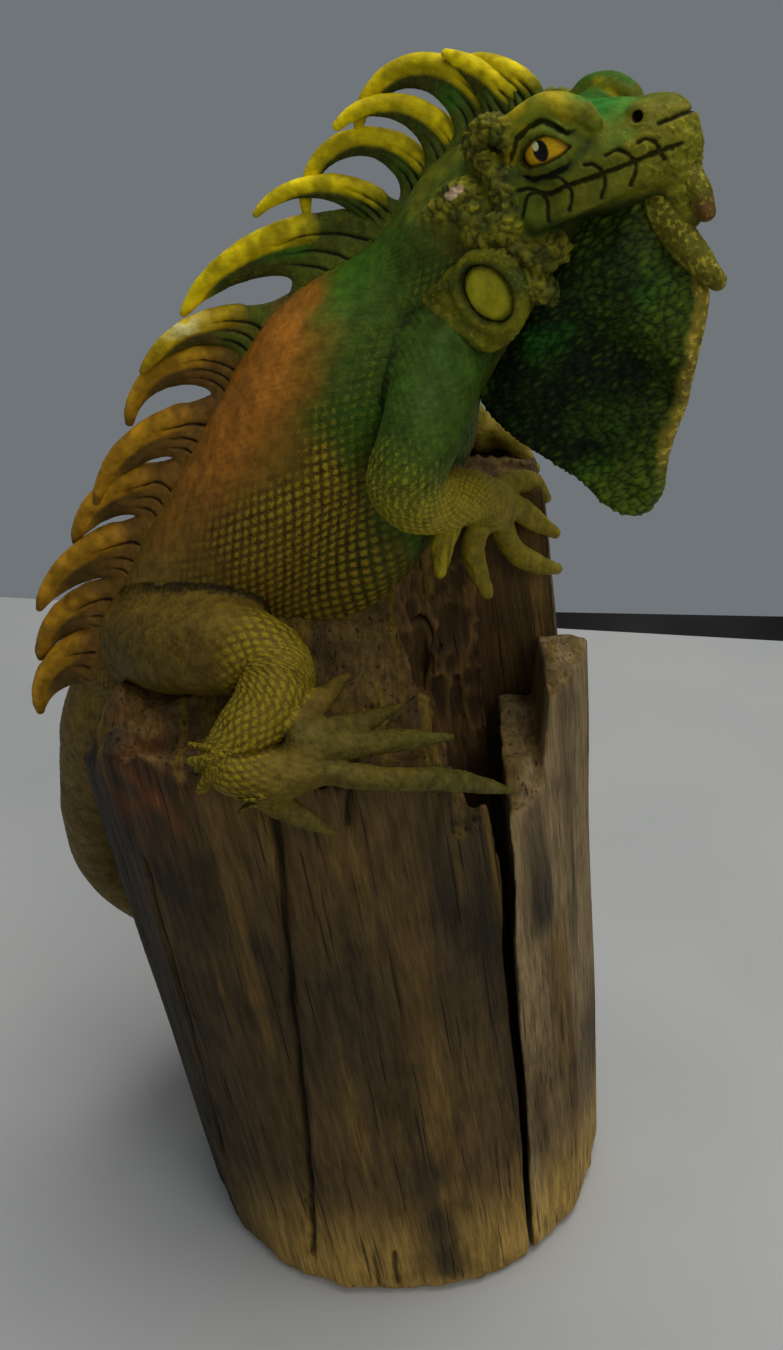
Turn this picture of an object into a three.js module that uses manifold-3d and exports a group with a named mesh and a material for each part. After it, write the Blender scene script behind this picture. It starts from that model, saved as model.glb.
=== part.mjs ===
// A hand-modelled, painted iguana that clings to a hollow, weathered log standing on its sawn foot.
// Millimetres, +Z up, origin at the centre of the foot. The iguana looks along +X; its right side faces -Y.
// The flesh is a hard paste modelled in pieces over a core, wires and a dowel that is let into the log.

import * as THREE from "three";
import { mergeVertices } from "three/addons/utils/BufferGeometryUtils.js";
import Module from "manifold-3d";

const wasm = await Module();
wasm.setup();

// ---- driving dimensions ----
const LOG_RADIUS = 95;
const LOG_LEAN = -0.149; // how far the log leans towards -X for each millimetre of height
const LOG_SIDES = 36;
const LOG_FRONT_TOP = 283; // height of the broken front wall
const LOG_BACK_TOP = [325, 346]; // height of the back wall: behind the thigh, and where the hands hold it
const LOG_RAMP = [-88, -24]; // the top climbs from front wall to back wall between these Y values
const LOG_CORNER_DROP = 34; // how much lower the left rim is than the front wall
const LOG_SWELL = 7; // how much the right side swells at the top
const SADDLE = { x: -22, z: 274, slope: 1.14, lowest: 214, highest: 350 }; // the bed under the belly
// The slab split off the right side: the split's two faces at the foot, and how fast each opens upwards.
const STAVE = { trunkFace: [56.5, 0.045], slabFace: [58.5, 0.06], splay: 0.042, back: -4, gap: 1.8, top: 293 };
const PIT = { x: 66, y: -40, rx: 27, ry: 31, floor: 150, taper: 0.55 }; // the rotted hollow; x is from the axis
const GAP = 0.45; // clearance that is cut round a neighbour, at least 0.3 after facets
const HEAD_CENTRE = new THREE.Vector3(43, -26.6, 470);
const HEAD_YAW = THREE.MathUtils.degToRad(-32);
const HEAD_PITCH = THREE.MathUtils.degToRad(28);
const EYE = { radius: 8.5, forward: 12.4, side: 15.5, up: 7.6 };
const CHEEK = { radius: 17, button: 9, thick: 6, back: -21, down: -27, side: 28 };
const WIRE_RADIUS = 1.6;
const DOWEL = { radius: 6, foot: [-34, 0, 262], head: [-46, -2, 352] };
const DEWLAP_THICK = 6;

// A station is [x, y, z, half width, half height]; a curve runs through the stations.
const TORSO = [
  [-100, 9, 274, 35, 28],
  [-74, 3, 313, 45, 33],
  [-46, -4, 355, 47, 35],
  [-18, -8, 395, 42, 38],
  [8, -12, 425, 32, 29],
  [28, -18, 452, 25, 26],
];
const CORE_SHRINK = 0.62; // the core's section beside the torso's
const TAIL = [
  [-92, 7, 282, 29, 26],
  [-106, 9, 264, 28, 25],
  [-120, 13, 243, 25, 23],
  [-129, 18, 214, 21, 20],
  [-136, 22, 184, 18, 16],
  [-135, 27, 154, 15.5, 14.5],
  [-125, 37, 125, 13.5, 13],
  [-108, 53, 98, 12, 12],
  [-88, 75, 76, 10.5, 10.5],
  [-58, 95, 60, 9, 9],
  [-18, 105, 50, 7, 7],
  [22, 102, 44, 5, 5],
  [48, 87, 42, 3, 3],
];
// Places on the head are [forwards, to its left, up] from HEAD_CENTRE; then half width and half height.
const HEAD = [
  [-30, 0, -4, 22, 22],
  [-14, 0, -1, 25, 21],
  [4, 0, 1, 24, 18.5],
  [20, 0, -1, 20, 16],
  [32, 0, -3, 15, 13.5],
  [46, 0, -4, 11, 12],
];
// Each crest blade: where it springs from, x and z, its length, half width, and its lean and curl in degrees.
const CREST = [
  [35, 489, 22, 4.3, 117, 62], [30, 485, 27, 5.6, 122, 39], [22, 472, 65, 6.5, 86, 187],
  [12, 460, 54, 6, 85, 142], [3, 448, 70, 6, 78, 205], [-7, 447, 51, 5, 126, 101],
  [-22, 440, 64, 8.7, 173, 62], [-51, 411, 48, 6.2, 162, 75], [-60, 395, 52, 6.7, 153, 108],
  [-70, 375, 57, 7.9, 175, 77], [-87, 350, 48, 8.8, 170, 81], [-98, 327, 53, 9.4, 178, 66],
  [-112, 303, 45, 8.5, 183, 72], [-118, 280, 43, 9.5, 178, 89],
];
const CREST_THICK = 3;
const CREST_ROOT = 10; // how far each blade reaches into the back
const CREST_SWING = 20; // how far the crest turns towards -Y with the head

// The limbs on the near side (-Y) and the far side (+Y): a chain of stations, and digits from a knuckle.
const LIMBS = {
  foreleg_right: {
    chain: [[9, -40, 418, 13, 15], [5, -51, 406, 13, 14], [0, -60, 393, 12.5, 13], [-4, -61, 380, 11.5, 12],
      [7, -48, 369, 10, 10.5], [20, -33, 364, 9, 8.5], [29, -21, 355, 10, 6.5]],
    digits: [[[40, -6, 356], [51, 5, 345]], [[42, -9, 346], [54, -4, 335]],
      [[40, -15, 331], [55, -10, 323]], [[22, -31, 343], [27, -38, 328]], [[12, -39, 352], [8, -47, 334]]],
    reach: [29, -21, 354],
    thick: 4.2,
  },
  foreleg_left: {
    chain: [[8, 14, 414, 17, 19], [4, 36, 402, 15, 16], [-2, 47, 387, 13, 13],
      [8, 42, 374, 10, 11], [20, 38, 363, 8, 9], [28, 38, 357, 9, 6]],
    digits: [[[38, 30, 358], [48, 27, 347]], [[38, 38, 357], [47, 42, 341]],
      [[34, 48, 354], [40, 56, 334]], [[24, 52, 354], [22, 64, 334]], [[18, 48, 354], [8, 62, 338]]],
    reach: [28, 38, 356],
    thick: 4.2,
  },
  hindleg_right: {
    chain: [[-86, -32, 311, 18, 19], [-66, -53, 319, 17, 17], [-47, -68, 318, 13.5, 14],
      [-49, -81, 311, 12.5, 13], [-60, -90, 297, 12.5, 12], [-47, -97, 291, 13, 9]],
    digits: [[[-36, -86, 305], [-23, -71, 311]], [[-24, -88, 301], [-4, -70, 300]],
      [[-16, -92, 297], [14, -76, 291]], [[-4, -94, 288], [37, -66, 260]], [[-40, -104, 282], [-27, -103, 270]]],
    reach: [-47, -96, 292],
    thick: 4.6,
  },
  hindleg_left: {
    chain: [[-88, 34, 306, 22, 26], [-70, 62, 316, 21, 23], [-51, 84, 313, 17, 17],
      [-58, 97, 292, 12, 13], [-66, 102, 272, 11, 11], [-56, 104, 262, 9, 10]],
    digits: [[[-44, 103, 276], [-28, 100, 285]], [[-38, 104, 268], [-12, 99, 272]],
      [[-34, 104, 259], [-2, 99, 256]], [[-38, 104, 250], [-4, 99, 238]], [[-58, 105, 248], [-50, 103, 232]]],
    reach: [-56, 104, 262],
    thick: 4.6,
  },
};

const COLOURS = {
  wood: [0x6b5638, 0.9, 0], pale_wood: [0xa3875a, 0.85, 0], core: [0xd9d2c2, 0.95, 0], wire: [0x8d8f90, 0.45, 1],
  green: [0x4a5f22, 0.7, 0], brown: [0x6e4f28, 0.7, 0], head: [0x4f7a26, 0.65, 0], yellow: [0xb29a24, 0.7, 0],
  crest: [0xa5861c, 0.7, 0], dewlap: [0x24401a, 0.7, 0], eye: [0xc08a12, 0.25, 0],
};

// ---- from three.js geometry to manifold-3d solids and back ----
function solid(geometry) {
  const bare = geometry.clone();
  bare.deleteAttribute("normal");
  bare.deleteAttribute("uv");
  const merged = mergeVertices(bare, 1e-3);
  const made = new wasm.Manifold(new wasm.Mesh({
    numProp: 3,
    vertProperties: new Float32Array(merged.attributes.position.array),
    triVerts: new Uint32Array(merged.index.array),
  }));
  return made;
}

function geometryOf(body) {
  const mesh = body.getMesh();
  const geometry = new THREE.BufferGeometry();
  geometry.setAttribute("position", new THREE.BufferAttribute(new Float32Array(mesh.vertProperties), 3));
  geometry.setIndex(new THREE.BufferAttribute(new Uint32Array(mesh.triVerts), 1));
  geometry.computeVertexNormals();
  return geometry;
}

// The same solid with its skin moved outwards, used to cut clearance round it.
function grown(body, distance = GAP) {
  const geometry = mergeVertices(geometryOf(body).deleteAttribute("normal"), 1e-3);
  geometry.computeVertexNormals();
  const { position, normal } = geometry.attributes;
  for (let i = 0; i < position.count; i++) {
    position.setXYZ(
      i,
      position.getX(i) + distance * normal.getX(i),
      position.getY(i) + distance * normal.getY(i),
      position.getZ(i) + distance * normal.getZ(i),
    );
  }
  return solid(geometry);
}

const largest = (body) => body.decompose().reduce((a, b) => (a.volume() > b.volume() ? a : b));
const clearOf = (body, ...others) => largest(others.reduce((left, other) => left.subtract(grown(other)), body));
const unite = (bodies) => bodies.reduce((a, b) => a.add(b));
const smooth = (t) => THREE.MathUtils.smoothstep(t, 0, 1);

// ---- flesh: a sphere drawn out along a curve ----
// `level` is the direction that a section's half width is measured along; `ends` is how blunt each end is.
function flesh(stations, { level = [0, 1, 0], around = 14, along = 16, ends = [0.12, 0.12], scale = 1 } = {}) {
  const centres = new THREE.CatmullRomCurve3(stations.map(([x, y, z]) => new THREE.Vector3(x, y, z)));
  const sizes = new THREE.CatmullRomCurve3(stations.map(([, , , w, h]) => new THREE.Vector3(w, h, 0)));
  const geometry = new THREE.SphereGeometry(1, around, along);
  const position = geometry.attributes.position;
  const across = new THREE.Vector3(...level);
  for (let i = 0; i < position.count; i++) {
    const [x, y, z] = [position.getX(i), position.getY(i), position.getZ(i)];
    const t = Math.acos(THREE.MathUtils.clamp(y, -1, 1)) / Math.PI;
    const turn = Math.atan2(z, x);
    const tangent = centres.getTangent(t);
    const side = across.clone().addScaledVector(tangent, -across.dot(tangent)).normalize();
    const up = new THREE.Vector3().crossVectors(side, tangent);
    const fade = Math.min(roundEnd(t, ends[0]), roundEnd(1 - t, ends[1])) * scale;
    const size = sizes.getPoint(t).multiplyScalar(fade);
    const point = centres.getPoint(t)
      .addScaledVector(side, size.x * Math.cos(turn))
      .addScaledVector(up, size.y * Math.sin(turn));
    position.setXYZ(i, point.x, point.y, point.z);
  }
  return outward(geometry);
}

const roundEnd = (t, length) => (t >= length ? 1 : Math.sqrt(Math.max(0, 1 - (1 - t / length) ** 2)));

// A drawn-out sphere may come out inside out, by the turn of its frame: then each face is turned round.
function outward(geometry) {
  const body = solid(geometry);
  if (body.volume() > 0) return body;
  const index = geometry.index.array;
  for (let i = 0; i < index.length; i += 3) [index[i + 1], index[i + 2]] = [index[i + 2], index[i + 1]];
  return solid(geometry);
}

// ---- the log ----
function logTop(x, y) {
  const left = smooth((5 - x) / 60);
  const ramp = smooth((y - LOG_RAMP[0]) / (LOG_RAMP[1] - LOG_RAMP[0]));
  const back = THREE.MathUtils.lerp(...LOG_BACK_TOP, smooth((x - 35) / 40));
  const climb = (back - LOG_FRONT_TOP) * ramp * (1 - 0.9 * left);
  const front = LOG_FRONT_TOP + climb - LOG_CORNER_DROP * smooth((-60 - x) / 24);
  const bed = THREE.MathUtils.clamp(SADDLE.z + SADDLE.slope * (x - SADDLE.x), SADDLE.lowest, SADDLE.highest);
  return THREE.MathUtils.lerp(front, Math.min(front + 20, bed), smooth((y + 38) / 32));
}

const logOutline = (angle) => LOG_RADIUS * (1 + 0.02 * Math.sin(2 * angle + 0.6) + 0.012 * Math.sin(5 * angle));

function wholeLog(lean = LOG_LEAN) {
  const profile = [[0, 0], [0.6, 0], [1, 0]];
  for (let k = 1; k <= 7; k++) profile.push([1, k / 7]);
  for (const r of [0.86, 0.7, 0.54, 0.38, 0.2, 0]) profile.push([r, 1]);
  const geometry = new THREE.LatheGeometry(profile.map(([r, h]) => new THREE.Vector2(r, h)), LOG_SIDES);
  geometry.rotateX(Math.PI / 2);
  const position = geometry.attributes.position;
  for (let i = 0; i < position.count; i++) {
    const angle = Math.atan2(position.getY(i), position.getX(i));
    const radius = logOutline(angle) + LOG_SWELL * position.getZ(i) * smooth(2 * Math.cos(angle) - 1);
    const [x, y] = [position.getX(i) * radius, position.getY(i) * radius];
    const z = position.getZ(i) * logTop(x, y);
    position.setXYZ(i, x + lean * z, y, z);
  }
  return outward(geometry);
}

// A box or a cylinder that leans with the log, or with `lean`.
function leaning(geometry, x, y, low, high, lean = LOG_LEAN) {
  geometry.translate(x, y, (low + high) / 2);
  geometry.applyMatrix4(new THREE.Matrix4().makeShear(0, 0, 0, 0, lean, 0));
  return solid(geometry);
}

function slab([inner, opening], back, low, high) {
  const [width, depth] = [80, 160];
  const box = new THREE.BoxGeometry(width, depth, high - low);
  return leaning(box, inner + width / 2, back - depth / 2, low, high, LOG_LEAN + opening);
}

function pit() {
  const height = 260;
  const geometry = new THREE.CylinderGeometry(1, PIT.taper, height, 18, 4).rotateX(Math.PI / 2);
  geometry.scale(PIT.rx, PIT.ry, 1);
  return leaning(geometry, PIT.x, PIT.y, PIT.floor, PIT.floor + height);
}

// ---- the rest of the body ----
function wire(points, radius = WIRE_RADIUS) {
  const curve = new THREE.CatmullRomCurve3(points.map((p) => new THREE.Vector3(...p.slice(0, 3))));
  const round = new THREE.Shape().absarc(0, 0, radius, 0, 2 * Math.PI);
  const steps = 2 * (points.length - 1);
  return solid(new THREE.ExtrudeGeometry(round, { steps, curveSegments: 3, extrudePath: curve }));
}

function rod(from, to, radius, sides = 12) {
  const [a, b] = [new THREE.Vector3(...from), new THREE.Vector3(...to)];
  const geometry = new THREE.CylinderGeometry(radius, radius, a.distanceTo(b), sides);
  const turn = new THREE.Quaternion().setFromUnitVectors(new THREE.Vector3(0, 1, 0), b.clone().sub(a).normalize());
  geometry.applyQuaternion(turn);
  geometry.translate(...a.add(b).multiplyScalar(0.5).toArray());
  return solid(geometry);
}

function limb({ chain, digits, reach, thick }) {
  const pieces = [flesh(chain, { around: 10, along: 12, ends: [0.1, 0.12] })];
  for (const [knuckle, tip] of digits) {
    const stations = [[...reach, thick, thick], [...knuckle, thick, thick], [...tip, 1.6, 1.6]];
    pieces.push(flesh(stations, { level: [0.3, 0.4, 0.8], around: 6, along: 6, ends: [0.2, 0.25] }));
  }
  return unite(pieces);
}

// A blade follows an arc from its root and grows thin and narrow towards its tip.
function blade([x, z, length, half, lean, curl]) {
  const [from, turn] = [lean, curl].map(THREE.MathUtils.degToRad);
  const stations = [-CREST_ROOT / length, 0, 0.35, 0.7, 1].map((t) => {
    const angle = from + turn * t;
    const [across, up] = [Math.sin(angle) - Math.sin(from), Math.cos(from) - Math.cos(angle)];
    const [px, pz] = [x + (length / turn) * across, z + (length / turn) * up];
    const left = Math.max(0, t);
    return [px, -2 - CREST_SWING * smooth((px + 5) / 50), pz, CREST_THICK * (1 - 0.5 * left),
      Math.max(1.2, half * (1 + 0.5 * (1 - left) ** 3) * (1 - 0.85 * left ** 1.8))];
  });
  return flesh(stations, { around: 6, along: 8, ends: [0.06, 0.12] });
}

// The head's frame: forwards, towards its left side, and up, from its centre.
const headTurn = new THREE.Matrix4().makeRotationZ(HEAD_YAW).multiply(new THREE.Matrix4().makeRotationY(-HEAD_PITCH));
const headFrame = new THREE.Matrix4().makeTranslation(HEAD_CENTRE).multiply(headTurn);
const headLeft = new THREE.Vector3(0, 1, 0).applyMatrix4(headTurn).toArray();

function headPoint(forward, side, up) {
  return new THREE.Vector3(forward, side, up).applyMatrix4(headFrame);
}

const headStations = (stations) => stations.map(([f, s, u, w, h]) => [...headPoint(f, s, u).toArray(), w, h]);

function ball(centre, radius) {
  return solid(new THREE.SphereGeometry(radius, 14, 10).translate(...centre.toArray()));
}

// A disc on the head's side; its narrower face looks outwards.
function disc(forward, side, up, radius, thick, sides) {
  const geometry = new THREE.CylinderGeometry(radius * 0.82, radius, thick, sides).rotateX(side < 0 ? Math.PI : 0);
  return solid(geometry.translate(forward, side, up).applyMatrix4(headFrame));
}

function dewlap() {
  const outline = new THREE.Shape();
  outline.moveTo(-30, -20);
  outline.bezierCurveTo(-10, -8, 8, -8, 22, -10);
  outline.bezierCurveTo(40, -36, 36, -58, 12, -82);
  outline.bezierCurveTo(-2, -98, -2, -110, -14, -110);
  outline.bezierCurveTo(-26, -108, -24, -92, -40, -84);
  outline.bezierCurveTo(-62, -72, -58, -40, -30, -20);
  const geometry = new THREE.ExtrudeGeometry(outline, { depth: DEWLAP_THICK, bevelEnabled: false, curveSegments: 6 });
  geometry.rotateX(Math.PI / 2).translate(0, DEWLAP_THICK / 2, 0);
  return solid(geometry.applyMatrix4(headFrame));
}

const spike = (stations) => flesh(headStations(stations), { around: 8, along: 7, ends: [0.15, 0.2] });

// ---- assembly ----
const group = new THREE.Group();
group.name = "iguana_on_log";

function addPiece(name, body, colour) {
  const [hex, roughness, metalness] = COLOURS[colour];
  const mesh = new THREE.Mesh(geometryOf(body), new THREE.MeshStandardMaterial({ color: hex, roughness, metalness }));
  mesh.name = name;
  group.add(mesh);
}

const log = wholeLog();
const trunkBlank = log.subtract(slab(STAVE.trunkFace, STAVE.back, -10, 420)).subtract(pit());
const stave = largest(wholeLog(LOG_LEAN + STAVE.splay)
  .intersect(slab(STAVE.slabFace, STAVE.back - STAVE.gap, -10, STAVE.top)).subtract(pit()));
const dowel = rod(DOWEL.foot, DOWEL.head, DOWEL.radius);
const trunk = largest(trunkBlank.subtract(grown(dowel)));

const wires = {
  spine_wire: wire([...headStations([HEAD[3], HEAD[1]]), TORSO[4], TORSO[3], [-40, -6, 376], [-70, 10, 330],
    TORSO[0], TAIL[1], TAIL[3], TAIL[5], TAIL[7], TAIL[8]]),
};
for (const [name, { chain }] of Object.entries(LIMBS)) {
  const inner = name.startsWith("fore") ? [-6, -10, 402] : [-66, 2, 322];
  const side = name.endsWith("right") ? -1 : 1;
  const start = [inner[0], inner[1] + 6 * side, inner[2]];
  wires[name + "_wire"] = wire([start, ...chain.slice(0, 5)]);
}
const inside = [dowel, ...Object.values(wires)];

const torsoBlank = flesh(TORSO, { around: 18, along: 14, ends: [0.1, 0.1] });
const coreBlank = flesh(TORSO.slice(0, 5), { around: 10, along: 8, ends: [0.2, 0.2], scale: CORE_SHRINK });
const headBlank = flesh(headStations(HEAD), { level: headLeft, around: 16, along: 12, ends: [0.14, 0.12] });
const tailBlank = flesh(TAIL, { level: [0.35, 0.9, 0.1], around: 10, along: 30, ends: [0.05, 0.05] });

const bed = log.subtract(pit());
const core = clearOf(coreBlank, bed, ...inside);
const torso = clearOf(torsoBlank, coreBlank, bed, ...inside);
const tail = clearOf(tailBlank, torsoBlank, trunk, wires.spine_wire);
const head = clearOf(headBlank, torsoBlank, wires.spine_wire);

addPiece("log_trunk", trunk, "wood");
addPiece("log_stave", stave, "pale_wood");
addPiece("mounting_dowel", dowel, "pale_wood");
addPiece("torso", torso, "green");
addPiece("torso_core", core, "core");
addPiece("tail", tail, "brown");
for (const [name, body] of Object.entries(wires)) {
  addPiece(name, clearOf(body, dowel, ...(name === "spine_wire" ? [] : [wires.spine_wire])), "wire");
}

const limbs = [];
for (const [name, plan] of Object.entries(LIMBS)) {
  const body = clearOf(limb(plan), torsoBlank, trunk, stave, tailBlank, wires[name + "_wire"], ...limbs);
  limbs.push(body);
  addPiece(name, body, name.startsWith("fore") ? "green" : "brown");
}

// The head's own small pieces: eyes, cheek flaps with their round shields, spikes under the chin, the dewlap.
const taken = [headBlank, torsoBlank, ...limbs];
const eyes = [["eye_right", -1], ["eye_left", 1]].map(([name, side]) => {
  return [name, ball(headPoint(EYE.forward, side * EYE.side, EYE.up), EYE.radius)];
});
const headCut = clearOf(head, ...eyes.map(([, body]) => body));
addPiece("head", headCut, "head");
for (const [name, body] of eyes) addPiece(name, body, "eye");

const flaps = [];
for (const [label, side] of [["right", -1], ["left", 1]]) {
  const outer = CHEEK.side + CHEEK.thick / 2 + 1.4;
  const shield = clearOf(disc(CHEEK.back, side * outer, CHEEK.down, CHEEK.button, 4, 16), ...taken);
  const flap = clearOf(disc(CHEEK.back, side * CHEEK.side, CHEEK.down, CHEEK.radius, CHEEK.thick, 20), ...taken, shield);
  flaps.push(flap, shield);
  addPiece("cheek_flap_" + label, flap, "head");
  addPiece("cheek_shield_" + label, shield, "yellow");
}
const SPIKES = [
  ["chin_spike_1", [[42, -1, -12, 4.5, 4.5], [43.5, -3, -20, 3.8, 4], [44, -4, -27, 2.6, 2.6]]],
  ["chin_spike_2", [[32, -4, -16, 4.5, 5], [35, -5, -32, 4, 4.6], [40.5, -4.5, -47, 2.4, 2.4]]],
  ["chin_spike_3", [[26, 5, -15, 3.5, 3.5], [30, 7, -28, 3, 3], [33, 7, -39, 1.6, 1.6]]],
];
const spikes = [];
for (const [name, stations] of SPIKES) {
  const body = clearOf(spike(stations), headBlank, ...spikes);
  spikes.push(body);
  addPiece(name, body, "yellow");
}
addPiece("dewlap", clearOf(dewlap(), ...taken, ...flaps, ...spikes), "dewlap");

const blades = [];
CREST.forEach((plan, k) => {
  const body = clearOf(blade(plan), headBlank, torsoBlank, tailBlank, ...blades);
  blades.push(body);
  addPiece("crest_blade_" + String(k + 1).padStart(2, "0"), body, "crest");
});

export default group;
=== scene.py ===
# A painted, hand-modelled iguana on a weathered log: Blender looks for the CAD model of the same frame.
# Shapes are worked out in millimetres as distance functions, meshed, and placed in metres.
# Throughout, p is an array of points and n their normals, and d is a signed distance, negative inside.
import math
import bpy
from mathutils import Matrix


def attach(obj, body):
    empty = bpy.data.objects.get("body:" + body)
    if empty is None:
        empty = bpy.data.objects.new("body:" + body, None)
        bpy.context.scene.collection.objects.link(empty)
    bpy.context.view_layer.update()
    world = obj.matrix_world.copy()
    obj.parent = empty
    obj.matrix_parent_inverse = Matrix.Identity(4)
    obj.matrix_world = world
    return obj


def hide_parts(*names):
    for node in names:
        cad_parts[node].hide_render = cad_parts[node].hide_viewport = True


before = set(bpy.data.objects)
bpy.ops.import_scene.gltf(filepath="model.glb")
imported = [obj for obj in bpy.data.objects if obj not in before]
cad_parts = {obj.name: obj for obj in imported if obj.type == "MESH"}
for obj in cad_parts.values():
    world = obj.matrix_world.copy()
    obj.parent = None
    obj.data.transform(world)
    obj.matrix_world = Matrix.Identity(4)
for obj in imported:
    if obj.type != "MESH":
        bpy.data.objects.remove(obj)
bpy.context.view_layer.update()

from concurrent.futures import ThreadPoolExecutor

import bpy
import numpy as np
import openvdb
from mathutils import Vector

MM = 0.001

# ---- driving dimensions, in millimetres ----
LOG_RADIUS = 95.0
LOG_LEAN = -0.149
FRONT_TOP, BACK_TOP, CORNER_DROP = 283.0, (325.0, 346.0), 34.0
LOG_SWELL = 7.0
RAMP = (-88.0, -24.0)
SADDLE = dict(x=-22.0, z=274.0, slope=1.14, lowest=214.0, highest=350.0)
PIT = dict(x=66.0, y=-40.0, rx=27.0, ry=31.0, floor=150.0)
STAVE_BACK, STAVE_SPLAY = -4.0, 0.042
TRUNK_FACE = dict(at_foot=56.5, opening=0.045)
STAVE_FACE = dict(at_foot=58.8, opening=0.058)
DOWEL = ((-34, 0, 262), (-46, -2, 352), 6.0)

TORSO = [(-100, 9, 274, 35, 28), (-74, 3, 313, 45, 33), (-46, -4, 355, 47, 35), (-18, -8, 395, 42, 38),
         (8, -12, 425, 32, 29), (28, -18, 452, 25, 26)]
TAIL = [(-92, 7, 282, 29, 26), (-106, 9, 264, 28, 25), (-120, 13, 243, 25, 23), (-129, 18, 214, 21, 20),
        (-136, 22, 184, 18, 16), (-135, 27, 154, 15.5, 14.5), (-125, 37, 125, 13.5, 13),
        (-108, 53, 98, 12, 12), (-88, 75, 76, 10.5, 10.5), (-58, 95, 60, 9, 9), (-18, 105, 50, 7, 7),
        (22, 102, 44, 5, 5), (48, 87, 42, 3, 3)]


# The head has a frame of its own: forwards, to its left, and up, from its centre.
HEAD_YAW, HEAD_PITCH = math.radians(-32), math.radians(28)
HEAD_CENTRE = np.array([43.0, -26.6, 470.0])
FORWARD = np.array([math.cos(HEAD_PITCH) * math.cos(HEAD_YAW),
                    math.cos(HEAD_PITCH) * math.sin(HEAD_YAW), math.sin(HEAD_PITCH)])
LEFTWARD = np.array([-math.sin(HEAD_YAW), math.cos(HEAD_YAW), 0.0])
HEAD_AXES = np.stack([FORWARD, LEFTWARD, np.cross(FORWARD, LEFTWARD)])


def to_head(p):
    return (p - HEAD_CENTRE) @ HEAD_AXES.T


def from_head(h):
    return np.asarray(h, float) @ HEAD_AXES + HEAD_CENTRE


# ---- small mathematics ----
def unit(v):
    return v / np.maximum(np.linalg.norm(v, axis=-1, keepdims=True), 1e-9)


def ease(t):
    t = np.clip(t, 0, 1)
    return t * t * (3 - 2 * t)


def rise(x, low, high):
    """0 below `low`, 1 above `high`, smooth between."""
    return ease((x - low) / (high - low))


def hill(x, centre, width):
    return np.exp(-((x - centre) / width) ** 2)


def groove(distance, width):
    """1 in the middle of a pressed line, falling off to both sides."""
    return np.exp(-(distance / width) ** 2)


def oval(p, centre, half):
    """0 at the centre of an ellipsoid with these half sizes, 1 on its surface."""
    return np.linalg.norm((p - np.asarray(centre)) / np.asarray(half), axis=1)


def join(a, b, soft):
    """Smooth union of two distances."""
    h = np.maximum(soft - np.abs(a - b), 0) / soft
    return np.minimum(a, b) - h * h * soft / 4


def cut(a, b, soft=0.01):
    """What is left of solid a when solid b is taken away, with a rounded edge."""
    return -join(-a, b, soft)


def through(points, count):
    """A smooth curve through the points, as rows."""
    p = np.asarray(points, float)
    p = np.vstack([2 * p[0] - p[1], p, 2 * p[-1] - p[-2]])
    t = np.linspace(0, len(p) - 3 - 1e-6, count)
    k = t.astype(int)
    f = (t - k)[:, None]
    a, b, c, d = p[k], p[k + 1], p[k + 2], p[k + 3]
    bend = (2 * a - 5 * b + 4 * c - d) * f ** 2 + (3 * b - a - 3 * c + d) * f ** 3
    return 0.5 * (2 * b + (c - a) * f + bend)


SEEDED = np.random.default_rng(11)
LATTICE = SEEDED.uniform(-1, 1, (64, 64, 64)).astype(np.float32)
JITTER = SEEDED.uniform(0, 1, (32, 32, 32, 3)).astype(np.float32)


def noise(p, size, shift=0.0):
    """Smooth noise between -1 and 1; `size` is the width of a lump, one number or one per axis."""
    q = p / np.asarray(size, float) + 31.7 + 7.13 * shift
    base = np.floor(q)
    t = (q - base)
    t = t * t * (3 - 2 * t)
    i = base.astype(np.int64) & 63
    j = (i + 1) & 63
    total = 0
    for ax, wx in ((i[:, 0], 1 - t[:, 0]), (j[:, 0], t[:, 0])):
        for ay, wy in ((i[:, 1], 1 - t[:, 1]), (j[:, 1], t[:, 1])):
            for az, wz in ((i[:, 2], 1 - t[:, 2]), (j[:, 2], t[:, 2])):
                total = total + LATTICE[ax, ay, az] * wx * wy * wz
    return total


def speckle(p, size, shift=0.0):
    """Noise between 0 and 1."""
    return 0.5 + 0.5 * noise(p, size, shift)


def pebbles(p, size):
    """Cells of a pebbled skin: 0 in the joints between cells, up to about 1 in their middles."""
    q = p / np.asarray(size, float) + 51.3
    base = np.floor(q).astype(np.int64)
    first = np.full(len(p), 9.0)
    second = np.full(len(p), 9.0)
    for dx in (-1, 0, 1):
        for dy in (-1, 0, 1):
            for dz in (-1, 0, 1):
                cell = base + (dx, dy, dz)
                spot = cell + JITTER[cell[:, 0] & 31, cell[:, 1] & 31, cell[:, 2] & 31]
                d = np.sum((q - spot) ** 2, axis=1)
                second = np.minimum(second, np.maximum(first, d))
                first = np.minimum(first, d)
    return np.clip((np.sqrt(second) - np.sqrt(first)) * 1.6, 0, 1)


def curls(p, size, shift=0.0):
    """Worm-like ridges, 1 on their crests."""
    wander = noise(p, size, shift) + 0.35 * noise(p, np.asarray(size) * 0.5, shift + 3)
    return 1 - np.clip(np.abs(wander) * 2.6, 0, 1)


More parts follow.
